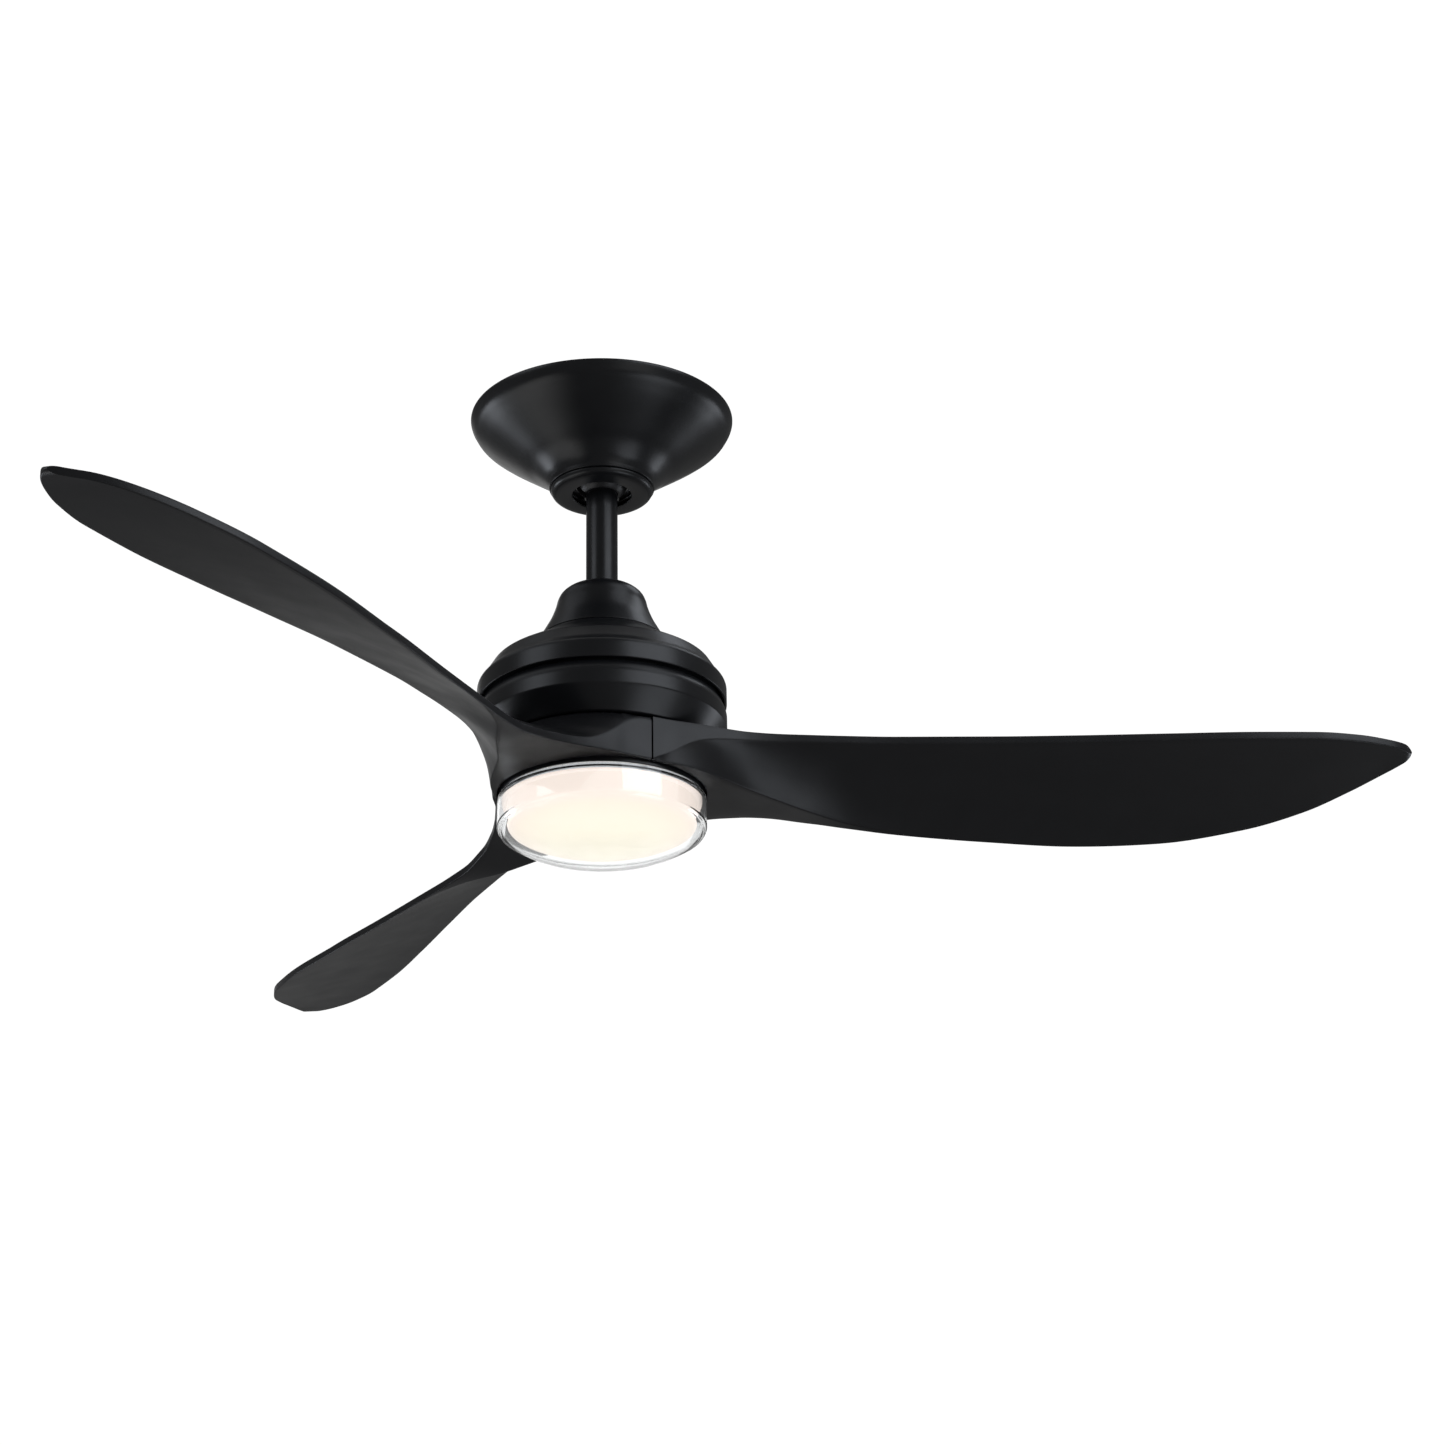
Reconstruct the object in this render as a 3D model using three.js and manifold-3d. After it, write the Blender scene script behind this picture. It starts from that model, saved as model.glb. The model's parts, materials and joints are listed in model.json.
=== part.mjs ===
// Three-blade ceiling fan with a round light below the blades, hung on a short downrod.
// Millimetres, +Z up. The origin is the middle of the hanger bracket's top face, which lies on the ceiling,
// and everything hangs below it along -Z.
import * as THREE from "three";
import { mergeVertices } from "three/addons/utils/BufferGeometryUtils.js";
import Module from "manifold-3d";

const wasm = await Module();
wasm.setup();

// ---- Driving dimensions ------------------------------------------------------------------------------------------
const GAP = 0.3; // clearance between pieces that touch
const BLADE_COUNT = 3;
const FIRST_BLADE_DEG = -3.34; // azimuth of the first blade
const TIP_RADIUS = 660;

const CANOPY_RADIUS = 112;
const CANOPY_FLOOR_Z = -65;
const RING_BOTTOM_Z = -71;
const RING_HOLE_RADIUS = 25.2;

const BALL_RADIUS = 25;
const BALL_Z = -50; // the swing's centre
const SEAT_TOP_Z = -58.5;
const SEAT_BOTTOM_Z = -61.5;
const SCREW_CIRCLE = 35; // canopy screws

const ROD_RADIUS = 13.35;
const ROD_BORE_RADIUS = 10.9;
const ROD_TOP_Z = -33.5;
const ROD_BOTTOM_Z = -196;
const CROSS_PIN_Z = -38;
const CLEVIS_PIN_Z = -186;
const COVER_TOP_Z = -160.4;

const FLANGE_TOP_Z = -203.2;
const DOME_TOP_Z = -209.5;
const HOUSING_RADIUS = 103.3;
const DOME_BOTTOM_Z = -266.6;
const BAND_TOP_Z = -268.4;
const BAND_BOTTOM_Z = -289;
const HOUSING_BOTTOM_Z = -308;

const SHAFT_RADIUS = 9.2;
const SHAFT_BORE_RADIUS = 6;
const SHAFT_TOP_Z = -204;
const SHAFT_BOTTOM_Z = -333.5;
const STATOR_TOP_Z = -262;
const STATOR_BOTTOM_Z = -282;
const TEETH = 12;

const HUB_TOP_Z = -309.2;
const HUB_RIM_RADIUS = 87.5;
const HUB_PLATE_Z = -316; // underside of the plate that each blade is screwed through
const RECESS_RADIUS = 86.2;
const HUB_HOLE_RADIUS = 32;
const BLADE_SCREW_CIRCLE = 45;

const PAN_RADIUS = 84;
const PAN_TOP_Z = -322;
const PAN_RIM_Z = -349.6;
const LED_BOARD_Z = -343;
const SHADE_RADIUS = 85.6;
const SHADE_TOP_Z = -350.6;
const SHADE_BOTTOM_Z = -395.2;
const NECK_RADIUS = 81.6; // the shade's neck, clear of the pan's flats at every angle of its twist
const LUG_TOP_Z = -343.6; // the bayonet lugs on the shade's neck

const COARSE = 24; // facets round an outer shell
const MEDIUM = 20; // facets round a ring inside the motor
const FINE = 16; // facets round a shaft
const SMALL = 8; // facets round a screw

// ---- Materials ---------------------------------------------------------------------------------------------------
const finish = (color, roughness, metalness) => new THREE.MeshStandardMaterial({ color, roughness, metalness });
const blackPaint = () => finish(0x101113, 0.42, 0.2);
const blackPlastic = () => finish(0x141517, 0.5, 0);
const steel = () => finish(0xb4b7ba, 0.35, 1);
const laminatedSteel = () => finish(0x6d7073, 0.5, 1);
const copper = () => finish(0xb4623a, 0.35, 1);
const magnetCeramic = () => finish(0x3a3b3d, 0.7, 0);
const aluminium = () => finish(0xc9cbcd, 0.4, 1);
const boardGreen = () => finish(0x1f5a35, 0.5, 0);
const whiteMoulding = () => finish(0xe8e8e4, 0.5, 0);
const cableJacket = () => finish(0x202020, 0.6, 0);
const clearAcrylic = () => finish(0xeef3f5, 0.05, 0);
const opalAcrylic = () => finish(0xfff0dc, 0.4, 0);

// ---- Solids ------------------------------------------------------------------------------------------------------
// A closed geometry as a solid whose shared vertices are merged.
function solid(geometry) {
  const shape = geometry.index ? geometry.toNonIndexed() : geometry.clone();
  shape.deleteAttribute("normal");
  shape.deleteAttribute("uv");
  const merged = mergeVertices(shape, 1e-4);
  const corners = merged.index.array;
  const kept = [];
  for (let i = 0; i < corners.length; i += 3) {
    const [a, b, c] = [corners[i], corners[i + 1], corners[i + 2]];
    if (a !== b && b !== c && c !== a) kept.push(a, b, c);
  }
  const mesh = new wasm.Mesh({
    numProp: 3,
    vertProperties: new Float32Array(merged.attributes.position.array),
    triVerts: new Uint32Array(kept),
  });
  mesh.merge();
  return new wasm.Manifold(mesh);
}

function geometryOf(made) {
  const mesh = made.getMesh();
  return new THREE.BufferGeometry()
    .setAttribute("position", new THREE.BufferAttribute(mesh.vertProperties, 3))
    .setIndex(new THREE.BufferAttribute(mesh.triVerts, 1));
}

const joined = (solids) => solids.reduce((sum, next) => sum.add(next));
const cutBy = (body, tools) => tools.reduce((left, tool) => left.subtract(tool), body);

// A closed outline of [radius, z] points turned about the Z axis. The outline may run either way round.
function turned(outline, facets) {
  const points = outline.map(([r, z]) => new THREE.Vector2(r, z));
  if (THREE.ShapeUtils.area(points) < 0) points.reverse();
  points.push(points[0].clone());
  return solid(new THREE.LatheGeometry(points, facets).rotateX(Math.PI / 2));
}

// A ring or, with an inner radius of zero, a disc.
function ring(inner, outer, bottom, top, facets) {
  const outline = [[inner, bottom], [outer, bottom], [outer, top], [inner, top]];
  return turned(outline, facets);
}

function rod(radius, bottom, top, facets) {
  const shape = new THREE.CylinderGeometry(radius, radius, top - bottom, facets);
  return solid(shape.rotateX(Math.PI / 2).translate(0, 0, (top + bottom) / 2));
}

// A cylinder along X or Y, between two coordinates on that axis.
function crossRod(axis, radius, from, to, [x, y, z], facets = SMALL) {
  const shape = new THREE.CylinderGeometry(radius, radius, to - from, facets);
  if (axis === "x") shape.rotateZ(Math.PI / 2).translate((from + to) / 2, y, z);
  else shape.translate(x, (from + to) / 2, z);
  return solid(shape);
}

function block([x0, y0, z0], [x1, y1, z1]) {
  const shape = new THREE.BoxGeometry(x1 - x0, y1 - y0, z1 - z0);
  return solid(shape.translate((x0 + x1) / 2, (y0 + y1) / 2, (z0 + z1) / 2));
}

// A flat shape standing from bottom to top.
function plate(shape, bottom, top, facets = SMALL) {
  const options = { depth: top - bottom, bevelEnabled: false, curveSegments: facets };
  return solid(new THREE.ExtrudeGeometry(shape, options).translate(0, 0, bottom));
}

function roundedBlock(halfX, halfY, corner, bottom, top) {
  const shape = new THREE.Shape();
  shape.moveTo(-halfX + corner, -halfY);
  shape.lineTo(halfX - corner, -halfY);
  shape.absarc(halfX - corner, -halfY + corner, corner, -Math.PI / 2, 0);
  shape.absarc(halfX - corner, halfY - corner, corner, 0, Math.PI / 2);
  shape.absarc(-halfX + corner, halfY - corner, corner, Math.PI / 2, Math.PI);
  shape.absarc(-halfX + corner, -halfY + corner, corner, Math.PI, Math.PI * 1.5);
  return plate(shape, bottom, top, 3);
}

// A round wire of the given radius along a list of points.
function wire(radius, points, steps, facets = 8) {
  const section = new THREE.Shape().absarc(0, 0, radius, 0, Math.PI * 2);
  const path = new THREE.CatmullRomCurve3(points.map((p) => new THREE.Vector3(...p)));
  const options = { steps, extrudePath: path, curveSegments: facets / 2, bevelEnabled: false };
  return solid(new THREE.ExtrudeGeometry(section, options));
}

// A screw along Z with its head at the bottom.
function screw(headRadius, headHeight, shankRadius, headBottom, tip) {
  const head = rod(headRadius, headBottom, headBottom + headHeight, SMALL);
  return head.add(rod(shankRadius, headBottom + headHeight / 2, tip, SMALL));
}

const onCircle = (radius, degrees) => {
  const angle = THREE.MathUtils.degToRad(degrees);
  return [radius * Math.cos(angle), radius * Math.sin(angle)];
};
const at = (made, x, y, z = 0) => made.translate([x, y, z]);
const turnedTo = (made, degrees) => made.rotate([0, 0, degrees]);

// ---- The assembly ------------------------------------------------------------------------------------------------
const fan = new THREE.Group();
const groups = {};
for (const name of ["ceiling_side", "hanging_side", "spinning_side", "light_cover"]) {
  groups[name] = new THREE.Group();
  groups[name].name = name;
  fan.add(groups[name]);
}

function piece(group, name, made, material) {
  const mesh = new THREE.Mesh(geometryOf(made), material);
  mesh.name = name;
  groups[group].add(mesh);
  return mesh;
}

// ---- Ceiling side: bracket, canopy, trim ring, receiver ----------------------------------------------------------
const LEG_INSIDE = 36;
const LEG_OUTSIDE = 38.5;
const LEG_HALF_WIDTH = 16;
const PLATE_THICKNESS = 2.5;
const PLATE_HALF_LENGTH = 62;
const PLATE_HALF_WIDTH = 22;
const CANOPY_SCREW_DEGREES = [-45, 135];

// A bent strip: a ceiling plate with two slots and a wire hole, two legs, and a seat with a slot for the rod.
function hangerBracket() {
  const top = roundedBlock(PLATE_HALF_LENGTH, PLATE_HALF_WIDTH, 6, -PLATE_THICKNESS, 0);
  const leg = block([LEG_INSIDE, -LEG_HALF_WIDTH, SEAT_BOTTOM_Z], [LEG_OUTSIDE, LEG_HALF_WIDTH, -1]);
  const seat = rod(41.5, SEAT_BOTTOM_Z, SEAT_TOP_Z, COARSE)
    .intersect(block([-LEG_OUTSIDE, -40, -80], [LEG_OUTSIDE, 40, 0]));
  const strip = joined([top, leg, leg.mirror([1, 0, 0]), seat]);
  const socket = turned([[0, -62], [22.8, -62], [25.8, -57.5], [25.8, -50], [0, -50]], COARSE);
  const rodSlot = block([-14.6, 0, -70], [14.6, 50, -50]);
  const wireHole = at(rod(7, -5, 5, FINE), 27, 0);
  const ceilingSlot = block([44, -2.8, -5], [57, 2.8, 5]);
  const screwHoles = CANOPY_SCREW_DEGREES.map((a) => at(rod(2.4, -70, -50, SMALL), ...onCircle(SCREW_CIRCLE, a)));
  const cut = cutBy(strip, [socket, rodSlot, wireHole, ceilingSlot, ceilingSlot.mirror([1, 0, 0]), ...screwHoles]);
  const key = block([-27, -3.6, SEAT_BOTTOM_Z], [-20.6, 3.6, SEAT_TOP_Z + 3]);
  return cut.add(key);
}

// The bowl: convex by the ceiling, a straight cone, then a flare to the lip, with a floor that the screws pass.
function canopy() {
  const shell = turned([
    [CANOPY_RADIUS, -0.2], [111.3, -4], [107.5, -10.5], [100.5, -16.7], [91, -24], [70, -39], [58.5, -47],
    [50, -55], [46, -60.8], [44.5, CANOPY_FLOOR_Z], [27, CANOPY_FLOOR_Z], [27, CANOPY_FLOOR_Z + 1.5],
    [43, CANOPY_FLOOR_Z + 1.5], [44.6, -60.3], [57.2, -45.5], [90, -22.3], [106, -9.2], [110.5, -0.2],
  ], COARSE);
  const holes = CANOPY_SCREW_DEGREES.map((a) => at(rod(2.5, -70, -60, SMALL), ...onCircle(SCREW_CIRCLE, a)));
  return cutBy(shell, holes);
}

function canopyRing() {
  return turned([
    [43.2, CANOPY_FLOOR_Z - 0.5], [43.4, -66.6], [42.2, -69], [39.6, -70.6], [36.5, RING_BOTTOM_Z],
    [RING_HOLE_RADIUS, RING_BOTTOM_Z], [RING_HOLE_RADIUS, RING_BOTTOM_Z + 1.5], [36.2, RING_BOTTOM_Z + 1.5],
    [40.6, -67.8], [41.7, CANOPY_FLOOR_Z - 0.5],
  ], COARSE);
}

piece("ceiling_side", "hanger_bracket", hangerBracket(), steel());
piece("ceiling_side", "canopy", canopy(), blackPaint());
CANOPY_SCREW_DEGREES.forEach((degrees, i) => {
  const made = at(screw(3.6, 1.7, 2, CANOPY_FLOOR_Z - 2, -57), ...onCircle(SCREW_CIRCLE, degrees));
  piece("ceiling_side", `canopy_screw_${i + 1}`, made, steel());
});
piece("ceiling_side", "canopy_ring", canopyRing(), blackPaint());
piece("ceiling_side", "remote_receiver", roundedBlock(23, 48, 3, -22, -PLATE_THICKNESS - GAP), blackPlastic());

// ---- Hanging side: ball, rod, yoke, cover ------------------------------------------------------------------------
// A ball with flat ends, a bore for the rod, a slot for the cross pin and a key groove down one side. The groove's
// floor is round about the swing axis, Y, so that the bracket's key stays in it as the ball turns.
function hangerBall() {
  const sphere = solid(new THREE.SphereGeometry(BALL_RADIUS, 24, 12).rotateX(Math.PI / 2).translate(0, 0, BALL_Z));
  const body = sphere.intersect(block([-30, -30, BALL_Z - 20.1], [30, 30, BALL_Z + 19]));
  const bore = rod(ROD_RADIUS + GAP, -80, -20, FINE);
  const pinSlot = block([-3.4, -30, CROSS_PIN_Z - 3.3], [3.4, 30, -20]);
  const setHole = crossRod("x", 2.9, 10, 30, [0, 0, -46]);
  const aboutY = turned([[19.8, -5], [30, -5], [30, 5], [19.8, 5]], MEDIUM).rotate([90, 0, 0]);
  const groove = aboutY.translate([0, 0, BALL_Z]).intersect(block([-40, -10, -90], [0, 10, 0]));
  return cutBy(body, [bore, pinSlot, setHole, groove]);
}

function downrod() {
  const tube = ring(ROD_BORE_RADIUS, ROD_RADIUS, ROD_BOTTOM_Z, ROD_TOP_Z, FINE);
  const holes = [CROSS_PIN_Z, CLEVIS_PIN_Z].map((z) => crossRod("y", 3.4, -30, 30, [0, 0, z]));
  return cutBy(tube, holes);
}

const YOKE_RADIUS = 20;
const YOKE_TOP_Z = -170;
const YOKE_FLANGE_RADIUS = 33;
const YOKE_SCREW_Z = -177;
const FLANGE_SCREW_CIRCLE = 26.5;
const FLANGE_SCREW_DEGREES = [30, 150, 270];

// A turned collar that the rod drops into, with a flange on the dome and a neck down to the motor's shaft.
function motorYoke() {
  const body = turned([
    [ROD_RADIUS + GAP, YOKE_TOP_Z], [YOKE_RADIUS, YOKE_TOP_Z], [YOKE_RADIUS, FLANGE_TOP_Z],
    [YOKE_FLANGE_RADIUS, FLANGE_TOP_Z], [YOKE_FLANGE_RADIUS, DOME_TOP_Z + GAP], [15.5, DOME_TOP_Z + GAP],
    [15.5, -217], [SHAFT_RADIUS + GAP, -217], [SHAFT_RADIUS + GAP, ROD_BOTTOM_Z - GAP],
    [ROD_RADIUS + GAP, ROD_BOTTOM_Z - GAP],
  ], FINE);
  const pinHole = crossRod("y", 3.4, -30, 30, [0, 0, CLEVIS_PIN_Z]);
  const setHole = crossRod("x", 2.9, -30, 30, [0, 0, YOKE_SCREW_Z]);
  const flangeHoles = FLANGE_SCREW_DEGREES.map((a) => (
    at(rod(2.4, -215, -200, SMALL), ...onCircle(FLANGE_SCREW_CIRCLE, a))
  ));
  return cutBy(body, [pinHole, setHole, ...flangeHoles]);
}

// A headed pin with a cross hole near its far end for the retaining clip.
const CLIP_Y = -22.5;
function clevisPin() {
  const shank = crossRod("y", 3, -25.5, 21, [0, 0, CLEVIS_PIN_Z]);
  const head = crossRod("y", 4.6, 20.5, 23, [0, 0, CLEVIS_PIN_Z]);
  return shank.add(head).subtract(crossRod("x", 1.3, -10, 10, [0, CLIP_Y, CLEVIS_PIN_Z], 8));
}

// A hairpin clip: one leg straight through the pin, the other bent over it.
function hairpinClip() {
  const points = [
    [-8, 0], [0, 0], [7, 0], [9.4, 1], [10.2, 3], [9, 4.8], [6.5, 5], [3.5, 4.1], [0, 5.2], [-3.5, 4.1], [-7.5, 6],
  ];
  return wire(0.9, points.map(([x, z]) => [x, CLIP_Y, CLEVIS_PIN_Z + z]), 30, 6);
}

const yokeSetScrew = () => crossRod("x", 2.6, ROD_RADIUS + GAP, 24, [0, 0, YOKE_SCREW_Z])
  .add(crossRod("x", 4.2, 20.6, 24, [0, 0, YOKE_SCREW_Z], 6));

// The bell over the yoke. It slides up the rod.
function couplingCover() {
  return turned([
    [14.2, COVER_TOP_Z], [24, COVER_TOP_Z - 0.2], [29.8, -162.8], [34.6, -167], [37.1, -172], [38.6, -178],
    [41, -185], [44, -192], [48.3, -200], [53.4, -209.2], [51.2, -209.2], [42, -193], [36.4, -178.6],
    [34.6, -172], [28.8, -165], [23.6, -162.6], [14.2, -162.4],
  ], COARSE);
}

piece("hanging_side", "hanger_ball", hangerBall(), blackPlastic());
piece("hanging_side", "ball_cross_pin", crossRod("y", 3, -17, 17, [0, 0, CROSS_PIN_Z]), steel());
piece("hanging_side", "ball_set_screw", crossRod("x", 2.5, ROD_RADIUS + GAP, 22.5, [0, 0, -46]), steel());
piece("hanging_side", "downrod", downrod(), blackPaint());
piece("hanging_side", "motor_yoke", motorYoke(), laminatedSteel());
piece("hanging_side", "clevis_pin", clevisPin(), steel());
piece("hanging_side", "clevis_clip", hairpinClip(), steel());
piece("hanging_side", "yoke_set_screw_1", yokeSetScrew(), steel());
piece("hanging_side", "yoke_set_screw_2", yokeSetScrew().rotate([0, 0, 180]), steel());
piece("hanging_side", "coupling_cover", couplingCover(), blackPaint());

// ---- Hanging side: motor housing and stator ----------------------------------------------------------------------
function upperHousing() {
  const shell = turned([
    [16, DOME_TOP_Z], [50.5, DOME_TOP_Z], [54.5, -212], [60.7, -216], [71.2, -222], [81.5, -228], [91.3, -234],
    [98.7, -246], [102.6, -250.5], [HOUSING_RADIUS, -252.5], [HOUSING_RADIUS, DOME_BOTTOM_Z],
    [HOUSING_RADIUS - 2, DOME_BOTTOM_Z], [HOUSING_RADIUS - 2, -253], [89.6, -235.6], [50, -211.5], [16, -211.5],
  ], COARSE);
  const holes = FLANGE_SCREW_DEGREES.map((a) => (
    at(rod(2.4, -215, -200, SMALL), ...onCircle(FLANGE_SCREW_CIRCLE, a))
  ));
  return cutBy(shell, holes);
}

// The lower band with its chamfers, a spigot up inside the dome and a skirt tapering in to the blades.
function lowerHousing() {
  return turned([
    [96.4, -259], [98.2, -259], [98.2, BAND_TOP_Z], [99.6, BAND_TOP_Z], [102.8, -275.5], [HOUSING_RADIUS, -278],
    [HOUSING_RADIUS, BAND_BOTTOM_Z], [102.2, -290.6], [89, -307.4], [87.4, HOUSING_BOTTOM_Z],
    [58, HOUSING_BOTTOM_Z], [58, HOUSING_BOTTOM_Z + 2], [86.4, HOUSING_BOTTOM_Z + 2], [101, -288.2], [101.3, -278],
    [96.4, -270.4],
  ], COARSE);
}

function housingScrew(degrees) {
  const upright = screw(4, 2.4, 2, 0, 14).rotate([180, 0, 0]);
  return at(upright, ...onCircle(FLANGE_SCREW_CIRCLE, degrees), FLANGE_TOP_Z + GAP + 2.4);
}

function motorShaft() {
  return ring(SHAFT_BORE_RADIUS, SHAFT_RADIUS, SHAFT_BOTTOM_Z, SHAFT_TOP_Z, FINE);
}

const TOOTH_HALF_WIDTH = 4.5;
const SLOT_FLOOR_RADIUS = 31;
const TOOTH_TIP_RADIUS = 60;

// A stack of laminations: a hub on the shaft with teeth that flare at their tips.
function statorCore() {
  const shape = new THREE.Shape();
  const outline = [];
  for (let i = 0; i < TEETH; i += 1) {
    const middle = (i * 2 * Math.PI) / TEETH;
    const corner = (along, across) => outline.push(
      new THREE.Vector2(along, across).rotateAround(new THREE.Vector2(), middle),
    );
    corner(SLOT_FLOOR_RADIUS, -TOOTH_HALF_WIDTH);
    corner(TOOTH_TIP_RADIUS - 4, -TOOTH_HALF_WIDTH);
    corner(TOOTH_TIP_RADIUS - 2.4, -12);
    corner(TOOTH_TIP_RADIUS, 0);
    corner(TOOTH_TIP_RADIUS - 2.4, 12);
    corner(TOOTH_TIP_RADIUS - 4, TOOTH_HALF_WIDTH);
    corner(SLOT_FLOOR_RADIUS, TOOTH_HALF_WIDTH);
  }
  shape.setFromPoints(outline);
  const stack = plate(shape, STATOR_BOTTOM_Z, STATOR_TOP_Z);
  return stack.subtract(rod(SHAFT_RADIUS + GAP, -300, -250, FINE));
}

// One rectangular coil round each tooth, all joined by the lead ring above them.
function statorWindings() {
  const coil = block([36.5, -8.6, STATOR_BOTTOM_Z - 5], [54, 8.6, STATOR_TOP_Z + 5]).subtract(
    block([30, -TOOTH_HALF_WIDTH - GAP, STATOR_BOTTOM_Z - GAP], [58, TOOTH_HALF_WIDTH + GAP, STATOR_TOP_Z + GAP]),
  );
  const coils = Array.from({ length: TEETH }, (_, i) => turnedTo(coil, (i * 360) / TEETH));
  return joined([...coils, ring(38, 42, STATOR_TOP_Z + 4, STATOR_TOP_Z + 6.5, MEDIUM)]);
}

// The motor's control board, on three posts under the dome, with its larger components.
function driverBoard() {
  const top = -225;
  const board = ring(20, 60, top - 1.6, top, MEDIUM);
  const posts = [90, 210, 330].map((a) => at(rod(3, top - 0.5, DOME_TOP_Z - 2 - GAP, SMALL), ...onCircle(42, a)));
  const capacitors = [12, 40, 165].map((a) => at(rod(5.5, top - 0.5, top + 9.5, SMALL), ...onCircle(36, a)));
  const inductor = block([-12, -46, top - 0.5], [4, -32, top + 8]);
  const chips = [120, 140, 190].map((a) => turnedTo(block([44, -5, top - 0.5], [52, 5, top + 2]), a));
  return joined([board, ...posts, ...capacitors, inductor, ...chips]);
}

piece("hanging_side", "upper_housing", upperHousing(), blackPaint());
piece("hanging_side", "lower_housing", lowerHousing(), blackPaint());
FLANGE_SCREW_DEGREES.forEach((a, i) => piece("hanging_side", `housing_screw_${i + 1}`, housingScrew(a), steel()));
piece("hanging_side", "motor_shaft", motorShaft(), steel());
piece("hanging_side", "stator_core", statorCore(), laminatedSteel());
piece("hanging_side", "stator_windings", statorWindings(), copper());
piece("hanging_side", "motor_driver_board", driverBoard(), boardGreen());

// ---- Bearings: races on the shaft and in the rotor, with the ball cage between ------------------------------------
const BEARING_WIDTH = 9;
const RACES = { inner: [SHAFT_RADIUS + GAP, 12], cage: [12.3, 14.6], outer: [14.9, 17.5] };
const BEARING_BOTTOMS = { upper: -253.2, lower: -302 };
for (const [place, bottom] of Object.entries(BEARING_BOTTOMS)) {
  const race = ([inner, outer], inset) => ring(inner, outer, bottom + inset, bottom + BEARING_WIDTH - inset, FINE);
  piece("hanging_side", `${place}_bearing_inner_race`, race(RACES.inner, 0), steel());
  piece("spinning_side", `${place}_bearing_ball_cage`, race(RACES.cage, 1.5), copper());
  piece("spinning_side", `${place}_bearing_outer_race`, race(RACES.outer, 0), steel());
}

// ---- Spinning side: rotor and blades -----------------------------------------------------------------------------
const ROTOR_RADIUS = 72;
const MAGNET_INNER_RADIUS = 61.5;
const MAGNET_OUTER_RADIUS = 67.7;
const ROTOR_FLOOR_Z = -293;
const ROTOR_RIM_Z = -251;
const BLADE_PLATE_TOP_Z = -303.4;

// The cup under the stator: a wall round the magnets, a floor, and a boss for the lower bearing.
function rotorCup() {
  return turned([
    [17.8, ROTOR_FLOOR_Z + 2], [22, ROTOR_FLOOR_Z + 2], [24, ROTOR_FLOOR_Z], [68, ROTOR_FLOOR_Z], [68, ROTOR_RIM_Z],
    [ROTOR_RADIUS, ROTOR_RIM_Z], [ROTOR_RADIUS, ROTOR_FLOOR_Z - 3], [56, ROTOR_FLOOR_Z - 3],
    [56, BLADE_PLATE_TOP_Z + GAP], [17.8, BLADE_PLATE_TOP_Z + GAP],
  ], MEDIUM);
}

function rotorTopCover() {
  return turned([
    [17.8, -243.5], [21, -243.5], [22.5, -246.5], [70, -246.5], [ROTOR_RADIUS, -248], [ROTOR_RADIUS, ROTOR_RIM_Z + GAP],
    [67.5, ROTOR_RIM_Z + GAP], [66.5, -249.5], [21, -249.5], [21, -254], [17.8, -254],
  ], MEDIUM);
}

const BLADE_SCREW_SPREAD = 20; // degrees each side of a blade's middle
const bladeDegrees = Array.from({ length: BLADE_COUNT }, (_, i) => FIRST_BLADE_DEG + (i * 360) / BLADE_COUNT);
const bladeScrewDegrees = bladeDegrees.flatMap((a) => [a - BLADE_SCREW_SPREAD, a + BLADE_SCREW_SPREAD]);

function bladePlate() {
  const disc = ring(17.8, 56, HUB_TOP_Z + GAP, BLADE_PLATE_TOP_Z, MEDIUM);
  const holes = bladeScrewDegrees.map((a) => at(rod(2.4, -320, -295, SMALL), ...onCircle(BLADE_SCREW_CIRCLE, a)));
  return cutBy(disc, holes);
}

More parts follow.
